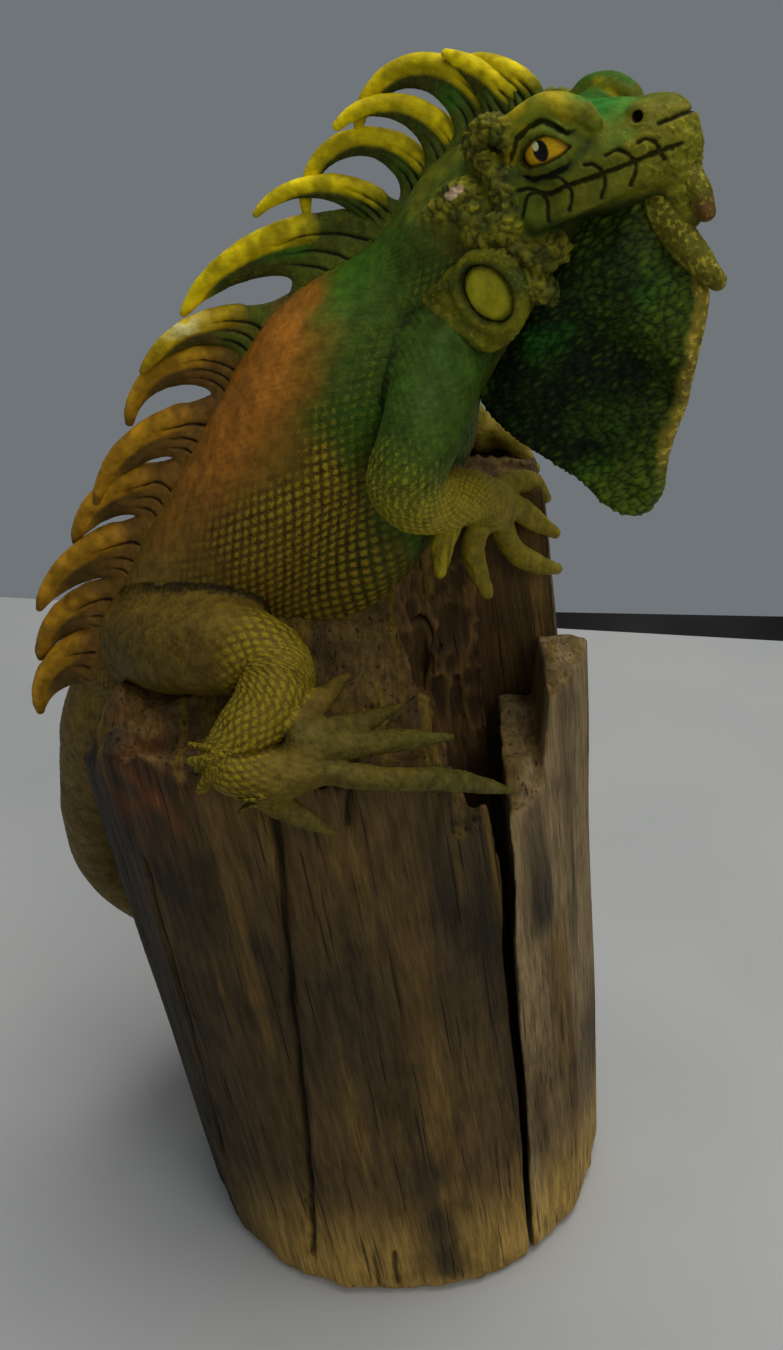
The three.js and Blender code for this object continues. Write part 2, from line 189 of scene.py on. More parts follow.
class Tube:
    """Flesh of elliptical section drawn out along a smooth curve.

    A station is x, y, z, half width, half height; `level` is the direction that widths are measured along."""

    def __init__(self, stations, level=(0, 1, 0), count=72):
        rows = through(stations, count)
        self.centre = rows[:, :3]
        step = np.linalg.norm(np.diff(self.centre, axis=0), axis=1)
        self.reach = np.concatenate([[0], np.cumsum(step)])
        self.length = self.reach[-1]
        tangent = unit(np.gradient(self.centre, axis=0))
        level = np.asarray(level, float)
        side = unit(level - tangent * (tangent @ level)[:, None])
        up = np.cross(side, tangent)
        self.rows = np.hstack([self.centre, tangent, side, up, np.maximum(rows[:, 3:5], 0.2)])

    def place(self, p):
        """Distance along the curve, then offsets sideways, upwards and past an end, then the half sizes."""
        size = np.sum(self.centre ** 2, axis=1)
        near = np.concatenate([np.argmin(size - 2 * part @ self.centre.T, axis=1)
                               for part in np.array_split(p, max(1, len(p) // 60000))])
        row = self.rows[near]
        ahead = np.sum((p - row[:, :3]) * row[:, 3:6], axis=1)
        spacing = self.length / (len(self.rows) - 1)
        short = np.where(near == 0, -np.inf, -spacing)
        long = np.where(near == len(self.rows) - 1, np.inf, spacing)
        along = self.reach[near] + np.clip(ahead, short, long)
        held = np.clip(along, 0, self.length)
        row = np.stack([np.interp(held, self.reach, column) for column in self.rows.T], axis=1)
        off = p - row[:, :3]
        past, across, above = (np.sum(off * row[:, k:k + 3], axis=1) for k in (3, 6, 9))
        past = np.where((along <= 0) | (along >= self.length), past, 0)
        return along, across, above, past, row[:, 12], row[:, 13]

    def wrap(self, p):
        """Distance along the curve and the angle round it, for a pattern on the flesh."""
        along, a, b, _, w, h = self.place(p)
        return along, np.arctan2(b / h, a / w)

    def __call__(self, p):
        _, a, b, c, w, h = self.place(p)
        e = np.minimum(w, h)
        k0 = np.sqrt((a / w) ** 2 + (b / h) ** 2 + (c / e) ** 2)
        k1 = np.sqrt((a / w ** 2) ** 2 + (b / h ** 2) ** 2 + (c / e ** 2) ** 2)
        return np.where(k0 < 1e-3, -e, k0 * (k0 - 1) / np.maximum(k1, 1e-6))


def path_distance(p, path, count=60):
    """Distance from each point to a smooth path, in as many dimensions as both have."""
    line = through(path, count)
    size = np.sum(line ** 2, axis=1)
    near = np.argmin(size - 2 * p @ line.T, axis=1)
    return np.linalg.norm(p - line[near], axis=1)


# ---- meshing ----
def in_threads(work, parts):
    with ThreadPoolExecutor(4) as pool:
        return list(pool.map(work, parts))


def carve(shape, low, high, step):
    """The skin where shape(points) crosses zero, as points and quads; `step` is the cell, per axis."""
    low, high = np.asarray(low, float), np.asarray(high, float)
    step = np.broadcast_to(np.asarray(step, float), 3)
    block = 4
    blocks = np.ceil((high - low) / (block * step)).astype(int)
    ids = np.stack(np.meshgrid(*[np.arange(n) for n in blocks], indexing="ij"), -1).reshape(-1, 3)
    centres = low + (ids + 0.5) * block * step
    coarse = np.concatenate(in_threads(shape, np.array_split(centres, len(ids) // 20000 + 1)))
    reach = 0.5 * block * np.linalg.norm(step)
    far = 3 * step.max()
    field = np.where(coarse < 0, -far, far).astype(np.float32).reshape(blocks)
    field = field.repeat(block, 0).repeat(block, 1).repeat(block, 2)
    close = ids[np.abs(coarse) < 1.35 * reach + 2.5]
    inner = np.stack(np.meshgrid(*[np.arange(block)] * 3, indexing="ij"), -1).reshape(-1, 3)

    def fill(part):
        cells = (part[:, None, :] * block + inner).reshape(-1, 3)
        field[cells[:, 0], cells[:, 1], cells[:, 2]] = np.clip(shape(low + (cells + 0.5) * step), -far, far)

    in_threads(fill, np.array_split(close, len(close) // 600 + 1))
    grid = openvdb.FloatGrid(far)
    grid.copyFromArray(field, tolerance=0.0)
    grid.transform = openvdb.createLinearTransform(voxelSize=1.0)
    points, quads = grid.convertToQuads(0.0)
    return low + (points.astype(float) + 0.5) * step, quads.astype(np.int64)


def normals_of(points, quads):
    a, b, c, d = (points[quads[:, k]] for k in range(4))
    face = np.cross(c - a, d - b)
    total = np.stack([sum(np.bincount(quads[:, k], face[:, axis], len(points)) for k in range(4))
                      for axis in range(3)], axis=1)
    return unit(total)


def link(name, data):
    thing = bpy.data.objects.new(name, data)
    bpy.context.scene.collection.objects.link(thing)
    return thing


def quad_mesh(name, points, quads):
    mesh = bpy.data.meshes.new(name)
    mesh.vertices.add(len(points))
    mesh.vertices.foreach_set("co", (points * MM).astype(np.float32).ravel())
    mesh.loops.add(quads.size)
    mesh.loops.foreach_set("vertex_index", quads.astype(np.int32).ravel())
    mesh.polygons.add(len(quads))
    mesh.polygons.foreach_set("loop_start", np.arange(0, quads.size, 4, dtype=np.int32))
    mesh.polygons.foreach_set("loop_total", np.full(len(quads), 4, dtype=np.int32))
    mesh.update(calc_edges=True)
    return mesh


def make_piece(mesh, node, fields, material):
    """A smooth-shaded piece that stands for its CAD node, with each field stored on the mesh's points."""
    count = len(mesh.vertices)
    mesh.polygons.foreach_set("use_smooth", np.ones(len(mesh.polygons), dtype=bool))
    for label, values in fields.items():
        if label in ("paint", "brush"):
            layer = mesh.attributes.new(label, "FLOAT_COLOR", "POINT")
            rgba = np.ones((count, 4), dtype=np.float32)
            rgba[:, :3] = np.clip(values, 0, 1)
            layer.data.foreach_set("color", rgba.ravel())
        else:
            layer = mesh.attributes.new(label, "FLOAT", "POINT")
            values = np.clip(np.broadcast_to(values, count), 0, 1).astype(np.float32)
            layer.data.foreach_set("value", values)
    mesh.materials.append(material)
    thing = link(mesh.name, mesh)
    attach(thing, "root")
    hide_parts(node)


def sculpt(name, node, shape, low, high, step, finish, material, in_head=False):
    """Mesh a shape, press its relief into the skin, paint it, and let it stand for its CAD node."""
    points, quads = carve(shape, low, high, step)
    normals = normals_of(points, quads)
    if in_head:
        points, normals = from_head(points), normals @ HEAD_AXES
    offset, fields = finish(points, normals)
    points = points + normals * np.broadcast_to(offset, len(points))[:, None]
    make_piece(quad_mesh(name, points, quads), node, fields, material)


# ---- colours ----
SHADE = 2.3  # swatches are written as they look in dim light; the pigment is this much lighter
BLUE_HELD = 0.72  # and the cool light adds blue, so that much less of it is in the paint


def swatch(r, g, b):
    """A paint's linear colour, from the sRGB colour, 0 to 255, that it should show in the room."""
    c = np.array([r, g, b * BLUE_HELD]) / 255
    return np.where(c < 0.04045, c / 12.92, ((c + 0.055) / 1.055) ** 2.4) * SHADE


def blend(a, b, t):
    """From colour a to colour b, as t goes from 0 to 1."""
    t = np.asarray(t)
    t = t[..., None] if t.ndim else t
    return a + (b - a) * t


def between(a, b, t):
    """The same for plain numbers, one for each point."""
    return a + (b - a) * t


GREEN = swatch(40, 57, 15)
# dark green of belly and throat, also painted as shade on the undersides
DEEP_GREEN_AND_SHADE = swatch(18, 29, 10)
BRIGHT_GREEN = swatch(34, 76, 18)
OLIVE = swatch(56, 56, 18)
OCHRE = swatch(84, 66, 18)
YELLOW = swatch(122, 112, 18)
PALE_YELLOW = swatch(130, 122, 48)
ORANGE = swatch(114, 70, 24)
BROWN = swatch(98, 62, 32)
TAN = swatch(88, 70, 28)
DULL_TAIL = swatch(68, 58, 38)
AMBER = swatch(168, 122, 4)


def skin_colours(p):
    """The body's paint: green at the neck, orange-brown along the back, tan at the hip, dull on the tail.

    Returns the paint, the paint brushed over it, and how far a point lies to the front and in the green."""
    climb = ((p[:, 0] + 100) * 0.58 + (p[:, 2] - 274) * 0.81) / 219
    front = ((p[:, 0] + 100) * 0.81 - (p[:, 2] - 274) * 0.58) / 60
    wander = 0.08 * noise(p, 30) + 0.05 * noise(p, 11, 2)
    paint = blend(TAN * 0.75, ORANGE, rise(climb + wander, 0.22, 0.48) * (1 - rise(front, -0.55, -0.15)))
    paint = blend(paint, OCHRE * 0.72, rise(front + wander, -0.5, -0.15) * rise(climb, 0.25, 0.5))
    paint = blend(paint, OLIVE * 0.8, rise(front + wander, 0.0, 0.5) * rise(climb, 0.3, 0.55))
    green = rise(climb + 0.7 * wander + 0.22 * (front + 0.5), 0.66, 0.80)
    paint = blend(paint, blend(OLIVE, GREEN, rise(noise(p, 26, 5), -0.4, 0.5)), green)
    nape = rise(-front, 0.35, 0.6) * (1 - rise(climb, 0.86, 0.95))
    bright = np.maximum(0.85 * nape, 0.5 * rise(noise(p, 19, 9), 0.15, 0.6))
    paint = blend(paint, BRIGHT_GREEN, green * bright)
    tail = rise(-climb + 0.3 * wander, 0.08, 0.4)
    paint = blend(paint, blend(swatch(66, 52, 30), DULL_TAIL, rise(-climb, 0.2, 0.9)), tail)
    brush = blend(OCHRE * 1.5, YELLOW, rise(climb, 0.3, 0.8))
    brush = blend(brush, TAN * 1.3, tail)
    return paint, brush, front, green


# ---- node graphs ----
class Graph:
    """A material's nodes, added one at a time."""

    def __init__(self, name):
        self.material = bpy.data.materials.new(name)
        self.material.use_nodes = True
        self.tree = self.material.node_tree
        self.shader = self.tree.nodes["Principled BSDF"]
        self.place = self.add("ShaderNodeTexCoord").outputs["Object"]

    def add(self, kind, inputs=None, **settings):
        node = self.tree.nodes.new(kind)
        for key, value in settings.items():
            setattr(node, key, value)
        for key, value in (inputs or {}).items():
            self.feed(node.inputs[key], value)
        return node

    def feed(self, socket, value):
        if isinstance(value, bpy.types.NodeSocket):
            self.tree.links.new(value, socket)
        elif socket.type == "RGBA":
            socket.default_value = (*value, 1.0) if len(value) == 3 else value
        else:
            socket.default_value = value

    def noise(self, size, detail=3.0, rough=0.55, where=None):
        """Noise with lumps of `size` millimetres."""
        return self.add("ShaderNodeTexNoise", {"Vector": where or self.place, "Scale": 1 / (size * MM),
                                               "Detail": detail, "Roughness": rough}).outputs["Fac"]

    def stretched(self, along, lean=LOG_LEAN, across=1.0):
        """Coordinates squeezed along the leaning grain, and front to back, so that noise draws fibres."""
        split = self.add("ShaderNodeSeparateXYZ", {"Vector": self.place})
        upright = self.math("MULTIPLY_ADD", split.outputs["Z"], -lean, split.outputs["X"])
        low = self.math("MULTIPLY", split.outputs["Z"], 1 / along)
        deep = self.math("MULTIPLY", split.outputs["Y"], 1 / across)
        return self.add("ShaderNodeCombineXYZ", {"X": upright, "Y": deep, "Z": low}).outputs[0]

    def math(self, operation, a, b=0.0, c=0.0):
        return self.add("ShaderNodeMath", {0: a, 1: b, 2: c}, operation=operation).outputs[0]

    def span(self, value, low, high, to_low=0.0, to_high=1.0):
        limits = {"Value": value, "From Min": low, "From Max": high, "To Min": to_low, "To Max": to_high}
        return self.add("ShaderNodeMapRange", limits, interpolation_type="SMOOTHSTEP").outputs[0]

    def mix(self, a, b, factor, mode="MIX"):
        node = self.add("ShaderNodeMix", data_type="RGBA", blend_type=mode)
        self.feed(node.inputs["Factor"], factor)
        self.feed(node.inputs[6], a)
        self.feed(node.inputs[7], b)
        return node.outputs[2]

    def tone(self, colour, amount):
        """A colour made lighter or darker by a factor that may vary."""
        grey = self.add("ShaderNodeCombineXYZ", {"X": amount, "Y": amount, "Z": amount}).outputs[0]
        return self.mix(colour, grey, 1.0, "MULTIPLY")

    def stored(self, name, colour=False):
        node = self.add("ShaderNodeAttribute", attribute_name=name)
        return node.outputs["Color" if colour else "Fac"]

    def bump(self, height, strength, depth, below=None):
        inputs = {"Height": height, "Strength": strength, "Distance": depth * MM}
        if below:
            inputs["Normal"] = below
        return self.add("ShaderNodeBump", inputs).outputs[0]

    def finish(self, colour, roughness, normal, specular=0.5, metallic=0.0):
        settings = {"Base Color": colour, "Roughness": roughness, "Normal": normal,
                    "Specular IOR Level": specular, "Metallic": metallic}
        for label, value in settings.items():
            self.feed(self.shader.inputs[label], value)
        return self.material


def painted_skin(name, grain=0.7, shine=0.52):
    """Acrylic paint on hard paste: washes and painted shade in the hollows, lighter paint dragged over what
    stands up.

    `grain` is the size of the finest roughness in millimetres, and `shine` the shader's roughness."""
    g = Graph(name)
    relief = g.stored("relief")
    fine, mottle, cloud = g.noise(grain, 4, 0.7), g.noise(5, 4, 0.6), g.noise(24, 3)
    base = g.tone(g.stored("paint", True), g.span(mottle, 0.25, 0.75, 0.66, 1.3))
    base = g.tone(base, g.span(cloud, 0.3, 0.7, 0.85, 1.12))
    # paint wash and painted shade: the paint darkens where the relief is low, in grooves and hollows
    hollow = g.span(g.math("MULTIPLY_ADD", fine, 0.25, relief), 0.16, 0.6, 0.14, 1.0)
    base = g.tone(base, hollow)
    dragged = g.math("MULTIPLY_ADD", g.math("SUBTRACT", fine, 0.5), 1.1, relief)
    dragged = g.math("MULTIPLY", g.span(dragged, 0.58, 0.98), g.stored("dry"))
    colour = g.mix(base, g.stored("brush", True), dragged)
    height = g.math("MULTIPLY_ADD", g.noise(2.2, 3), 0.5, fine)
    roughness = g.span(mottle, 0.3, 0.7, shine + 0.14, shine - 0.04)
    return g.finish(colour, roughness, g.bump(height, 0.6, 0.45), specular=0.13)


def weathered_wood(name, pale=1.0):
    """Old split wood: fibres along the lean, dark checks between them, soot and damp in patches."""
    g = Graph(name)
    fibre = g.stretched(22.0)
    coarse = g.stretched(9.0)
    facing = g.add("ShaderNodeSeparateXYZ", {"Vector": g.add("ShaderNodeNewGeometry").outputs["Normal"]})
    up = g.span(facing.outputs["Z"], 0.3, 0.6)
    broken = g.noise(0.9, 4, 0.7, g.stretched(9.0, across=9.0))
    streak = g.noise(2.6, 5, 0.65, coarse)
    hair = g.add("ShaderNodeMix", {0: up, 2: g.noise(0.7, 4, 0.7, fibre), 3: broken}).outputs[0]
    cloud = g.noise(30, 4, 0.6)
    colour = g.tone(g.stored("paint", True), g.span(streak, 0.28, 0.72, 0.62 * pale, 1.3 * pale))
    colour = g.tone(colour, g.span(hair, 0.25, 0.7, 0.72, 1.18))
    colour = g.mix(colour, g.tone(colour, 0.62), g.span(cloud, 0.5, 0.72))
    check = g.span(g.noise(1.7, 2, 0.5, g.stretched(40.0)), 0.30, 0.37, 0.35, 1.0)
    colour = g.tone(colour, check)
    # painted shade from the stored relief: cracks, the pit and the hole are darkened
    colour = g.tone(colour, g.span(g.stored("relief"), 0.05, 0.6, 0.30, 1.0))
    height = g.math("MULTIPLY_ADD", hair, 0.6, g.math("MULTIPLY_ADD", streak, 0.9, check))
    return g.finish(colour, g.span(streak, 0.3, 0.7, 0.86, 0.7), g.bump(height, 0.8, 0.9), specular=0.25)


def glossy_eye(name):
    g = Graph(name)
    vein = g.noise(0.9, 4, 0.7)
    colour = g.tone(g.stored("paint", True), g.span(vein, 0.3, 0.7, 0.82, 1.12))
    return g.finish(colour, g.span(vein, 0.3, 0.7, 0.3, 0.4), g.bump(vein, 0.12, 0.1), specular=0.25)


def plain_procedural(name, dark, light, size, roughness, metallic=0.0, along=None):
    """A quiet material for pieces that stay inside: paste, wire, dowel."""
    g = Graph(name)
    grain = g.noise(size, 4, 0.6, g.stretched(along, 0.0) if along else None)
    colour = g.mix(dark, light, g.span(grain, 0.3, 0.7))
    worn = g.span(grain, 0.3, 0.7, roughness + 0.08, roughness - 0.08)
    return g.finish(colour, worn, g.bump(grain, 0.4, 0.3), metallic=metallic)


# ---- the log ----
def log_frame(p):
    """The leaning log straightened: x from its axis, then the radius and the angle round the axis."""
    upright = p[:, 0] - LOG_LEAN * p[:, 2]
    return upright, np.hypot(upright, p[:, 1]), np.arctan2(p[:, 1], upright)


def log_wall(p):
    """Distance to the log's round outside, with the ribs and hollows of weathered fibres."""
    upright, radius, angle = log_frame(p)
    swell = LOG_SWELL * np.clip(p[:, 2] / 330, 0, 1) * ease(2 * np.cos(angle) - 1)
    grain = np.stack([upright, p[:, 1], p[:, 2]], axis=1)
    ribs = 1.5 * noise(grain, (17, 17, 150)) + 0.9 * noise(grain, (6.5, 6.5, 90), 2)
    ribs = ribs + 0.5 * noise(grain, (2.8, 2.8, 60), 4)
    outline = LOG_RADIUS * (1 + 0.02 * np.sin(2 * angle + 0.6) + 0.012 * np.sin(5 * angle))
    worn = 2.5 * rise(9 - p[:, 2], 0, 9) ** 2
    return radius - outline - swell + 1.2 + ribs + worn


def log_top(p):
    """Height of the broken top over each point: a ramp from front to back, stepped along the grain."""
    x, y = p[:, 0], p[:, 1]
    upright = x - LOG_LEAN * 300
    left = ease((5 - upright) / 60)
    ramp = ease((y - RAMP[0]) / (RAMP[1] - RAMP[0]))
    back = BACK_TOP[0] + (BACK_TOP[1] - BACK_TOP[0]) * ease((upright - 35) / 40)
    front = FRONT_TOP + (back - FRONT_TOP) * ramp * (1 - 0.9 * left)
    front = front - CORNER_DROP * ease((-60 - upright) / 24)
    bed = SADDLE["z"] + SADDLE["slope"] * (upright - SADDLE["x"])
    bed = np.clip(bed, SADDLE["lowest"], SADDLE["highest"])
    height = front + (np.minimum(front + 20, bed) - front) * ease((y + 38) / 32)
    flat = np.stack([upright, y, 0 * y], axis=1)
    step = noise(flat, (19, 7, 10), 6) * 3.6
    splinter = np.round(step) + 0.25 * (step - np.round(step))
    height = height + 2.2 * splinter + 1.4 * noise(flat, (2.6, 2.2, 4), 8)
    notch = rise(upright, 51, 53) * 16 + rise(upright, 57, 60) * 22
    return height - notch * rise(-y, 52, 58)


def pit_shape(p):
    """The rotten hollow in the top: oval, rough, and narrower downwards."""
    upright, _, _ = log_frame(p)
    taper = 1 - 0.28 * np.clip((PIT["floor"] + 260 - p[:, 2]) / 260, 0, 1)
    rough = 2.2 * noise(p, (9, 9, 30), 3) + 1.0 * noise(p, (3.2, 3.2, 14), 5)
    across = np.hypot((upright - PIT["x"]) / PIT["rx"], (p[:, 1] - PIT["y"]) / PIT["ry"]) / taper - 1
    return np.maximum(across * PIT["rx"] + rough, PIT["floor"] + 2 * rough - p[:, 2])


def split_plane(p, at_foot, opening):
    """Distance in front of a face of the split, which opens by so much for each millimetre upwards."""
    upright, _, _ = log_frame(p)
    wander = 1.6 * noise(p, (40, 14, 34), 7) + 0.5 * noise(p, (9, 5, 9), 9)
    return at_foot + opening * p[:, 2] + wander - upright


CRACKS = [  # angle in degrees at each height, then width and depth
    ([(17, -115), (60, -110), (109, -106), (184, -101), (271, -94), (290, -92)], 1.5, 9),
    ([(262, -79), (284, -76), (300, -75)], 1.3, 8),
    ([(4, -92), (30, -91)], 1.4, 6),
    ([(60, -139), (150, -133), (235, -131)], 1.1, 5),
    ([(20, 160), (120, 166), (240, 171)], 1.6, 9),
    ([(0, 95), (90, 98), (200, 92), (320, 90)], 1.4, 8),
    ([(30, 40), (160, 36), (300, 33)], 1.3, 7),
]


def crack_depth(p):
    """How deep a point on the outside lies in a crack, 0 to 1, and how far it is pressed in."""
    _, radius, angle = log_frame(p)
    depth, press = np.zeros(len(p)), np.zeros(len(p))
    for course, width, deep in CRACKS:
        heights, degrees = zip(*course)
        where = np.radians(np.interp(p[:, 2], heights, degrees)) + 0.012 * noise(p * (0, 0, 1), 13, width)
        gap = np.abs(np.angle(np.exp(1j * (angle - where)))) * radius
        low, high = heights[0], heights[-1]
        ends = rise(p[:, 2], low - 4, low + 4) * (1 - rise(p[:, 2], high - 4, high + 4))
        here = groove(gap, width) * ends * rise(radius, 80, 88)
        depth, press = np.maximum(depth, here), np.maximum(press, here * deep * 0.5)
    return depth, press


SLIT = dict(centre=(5, -34, 292), half=(4.2, 20, 24))  # the eye-shaped hole in the rotten wall
DOWEL_BORE = Tube([(*DOWEL[0], 6, 6), (*DOWEL[1], 6, 6)], count=12)
BORE_DEPTH, BORE_SLACK = 93, 0.4


def trunk_shape(p):
    d = np.maximum(log_wall(p), (p[:, 2] - log_top(p)) * 0.75)
    d = np.maximum(d, -p[:, 2])
    d = cut(d, pit_shape(p), 2.5)
    slab = np.maximum(split_plane(p, **TRUNK_FACE), p[:, 1] - STAVE_BACK)
    d = np.maximum(d, -slab)
    d = cut(d, (oval(p, **SLIT) - 1) * SLIT["half"][0] + 1.0 * noise(p, 6, 12), 1.5)
    along, a, b, _, _, _ = DOWEL_BORE.place(p)
    bore = np.where(along < BORE_DEPTH, np.hypot(a, b) - DOWEL[2] - BORE_SLACK, 9)
    return np.maximum(d, -bore)


def stave_shape(p):
    upright, _, _ = log_frame(p)
    d = np.maximum(log_wall(p - p[:, 2:3] * (STAVE_SPLAY, 0, 0)), split_plane(p, **STAVE_FACE))
    d = np.maximum(d, p[:, 1] - STAVE_BACK + 1.8 + 1.2 * noise(p, (8, 8, 50), 4))
    top = 292 - 28 * rise(94 - upright, 0, 7) - 10 * rise(-p[:, 1], 50, 62) + 3 * noise(p * (1, 1, 0), 7, 5)
    d = np.maximum(d, (p[:, 2] - top) * 0.9)
    return np.maximum(d, -p[:, 2])


def log_finish(p, n, pale=0.0):
    """The wood's colours; `pale` is 1 on the fresh-split stave, which has no rot."""
    upright, radius, angle = log_frame(p)
    grain = np.stack([upright, p[:, 1], p[:, 2]], axis=1)
    turn = np.degrees(angle)
    crack, press = crack_depth(p)
    outside = rise(radius, 84, 90)
    paint = blend(swatch(64, 48, 30), swatch(45, 35, 23), rise(noise(grain, (16, 16, 90), 3), -0.3, 0.6))
    paint = blend(paint, swatch(84, 64, 38), rise(noise(grain, (7, 7, 70), 6), 0.15, 0.7) * 0.7)
    # painted shade: a dark band down the log's left side, away from the light
    paint = blend(paint, swatch(22, 18, 12), hill(turn, -152, 34) * 0.9 * outside)
    paint = blend(paint, swatch(96, 80, 74), pale * rise(noise(grain, (14, 14, 70), 8) + 0.8, 0, 1))
    paint = blend(paint, swatch(138, 110, 72), rise(75 - p[:, 2], 0, 60) * 0.7 * (1 - rise(-turn, 110, 150)))
    soot = rise(noise(grain, (12, 12, 42), 11), 0.1, 0.6) * hill(p[:, 2], 205, 46)
    paint = blend(paint, swatch(24, 20, 15), soot * 0.85)
    damp = hill(turn, -77, 5.5) * rise(p[:, 2], 4, 14) * (1 - rise(p[:, 2], 74, 96))
    paint = blend(paint, swatch(26, 22, 17), damp * rise(noise(grain, (5, 5, 30), 2) + 0.9, 0, 0.9) * 0.85)
    inside = 1 - outside
    paint = blend(paint, swatch(58, 40, 24), inside * (0.8 - 0.6 * pale) * rise(p[:, 0], -20, 20))
    pit = pit_shape(p)
    rotten = rise(2.5 + pit, 0, 2) * (1 - rise(pit, 1.0, 2.5)) * rise(p[:, 2], 235, 262) * (1 - pale)
    crumb = curls(p, (7, 7, 9), 5)
    paint = blend(paint, blend(swatch(48, 34, 22), swatch(88, 64, 42), crumb), rotten)
    up = rise(n[:, 2], 0.25, 0.8)
    paint = blend(paint, swatch(76, 60, 34), up * rise(noise(grain, (4, 40, 40), 4), -0.3, 0.5) * 0.8)
    touched = rise(noise(grain, (4, 26, 26), 15) + 0.25 * n[:, 2], 0.35, 0.7)
    near_skin = rise(p[:, 2], 250, 285) * rise(-p[:, 1], -10, 30)
    paint = blend(paint, OCHRE, touched * near_skin * 0.75)
    warm = hill(p[:, 0], -95, 16) * hill(p[:, 2], 268, 17) * rise(-p[:, 1], -5, 15)
    paint = blend(paint, swatch(92, 50, 24), np.clip(warm * (0.6 + 0.8 * noise(p, 8, 5)), 0, 1) * 0.8)
    # painted shade carried by relief: darker in the cracks, between crumbs of rot, deep in the pit and in the
    # hole
    deep = rise(-pit + 3.5, 0, 3) * rise(262 - p[:, 2], 0, 50)
    hole = rise(1.25 - oval(p, (4, -22, 287), (5.0, 16, 19)), 0, 0.3)
    relief = np.clip(1 - 1.2 * crack - 0.5 * deep - 0.95 * hole * rotten - 0.3 * rotten * (1 - crumb), 0, 1)
    offset = rotten * (2.0 * crumb - 1.0) - 5.0 * rotten * hole - press
    return offset, dict(paint=paint, relief=relief)


# ---- the body ----
TORSO_FLESH = Tube(TORSO)
BELLY = Tube([(-34, -10, 318, 30, 22), (-12, -12, 351, 32, 22), (4, -14, 380, 22, 16)])
TAIL_FLESH = Tube(TAIL, level=(0.35, 0.9, 0.1), count=110)


def torso_shape(p):
    return join(TORSO_FLESH(p), BELLY(p), 14)


def scale_rows(along, turn, pitch, count):
    """Lozenge scales pressed in diagonal rows: 0 in the joints, 1 on each scale."""
    first = math.pi * (along / pitch + turn * count / (2 * math.pi))
    second = math.pi * (along / pitch - turn * count / (2 * math.pi))
    return np.abs(np.sin(first) * np.sin(second)) ** 0.38


def torso_finish(p, n):
    along, turn = TORSO_FLESH.wrap(p)
    paint, brush, front, green = skin_colours(p)
    scales = scale_rows(along + 1.2 * noise(p, 16), turn + 0.02 * noise(p, 20, 3), 5.4, 64)
    band = rise(front + 0.15 * noise(p, 14), -0.5, -0.15)
    coverage = band * (1 - 0.5 * green)
    rough = speckle(p, 1.6, 3)
    small = scale_rows(along, turn, 3.4, 96)
    relief = scales * coverage + (0.2 + 0.3 * rough + 0.35 * small) * (1 - coverage)
    offset = 0.85 * scales * coverage + (0.3 * rough + 0.3 * small) * (1 - coverage) + 0.5 * noise(p, 12, 6)
    # painted shade: the relief, and so the paint, darkens close to where the near legs meet the torso
    for name in ("foreleg_right", "hindleg_right"):
        relief = relief * (0.12 + 0.88 * rise(LIMB_CHAINS[name](p), 0.5, 5.5))
    paint = blend(paint, paint * 0.45, coverage * 0.6)
    # the underside darker: its own dark green and painted shade under the body
    paint = blend(paint, DEEP_GREEN_AND_SHADE, rise(front, 0.5, 1.1) * 0.35)
    dry = 0.12 + 0.8 * coverage * (1 - 0.4 * green)
    return offset, dict(paint=paint, brush=brush, dry=dry, relief=relief)


def tail_finish(p, n):
    paint, brush, _, _ = skin_colours(p)
    scales = scale_rows(*TAIL_FLESH.wrap(p), 4.6, 44)
    relief = 0.35 + 0.5 * scales + 0.2 * noise(p, 2.2)
    return 0.32 * scales + 0.3 * noise(p, 9), dict(paint=paint, brush=brush, dry=0.35, relief=relief)


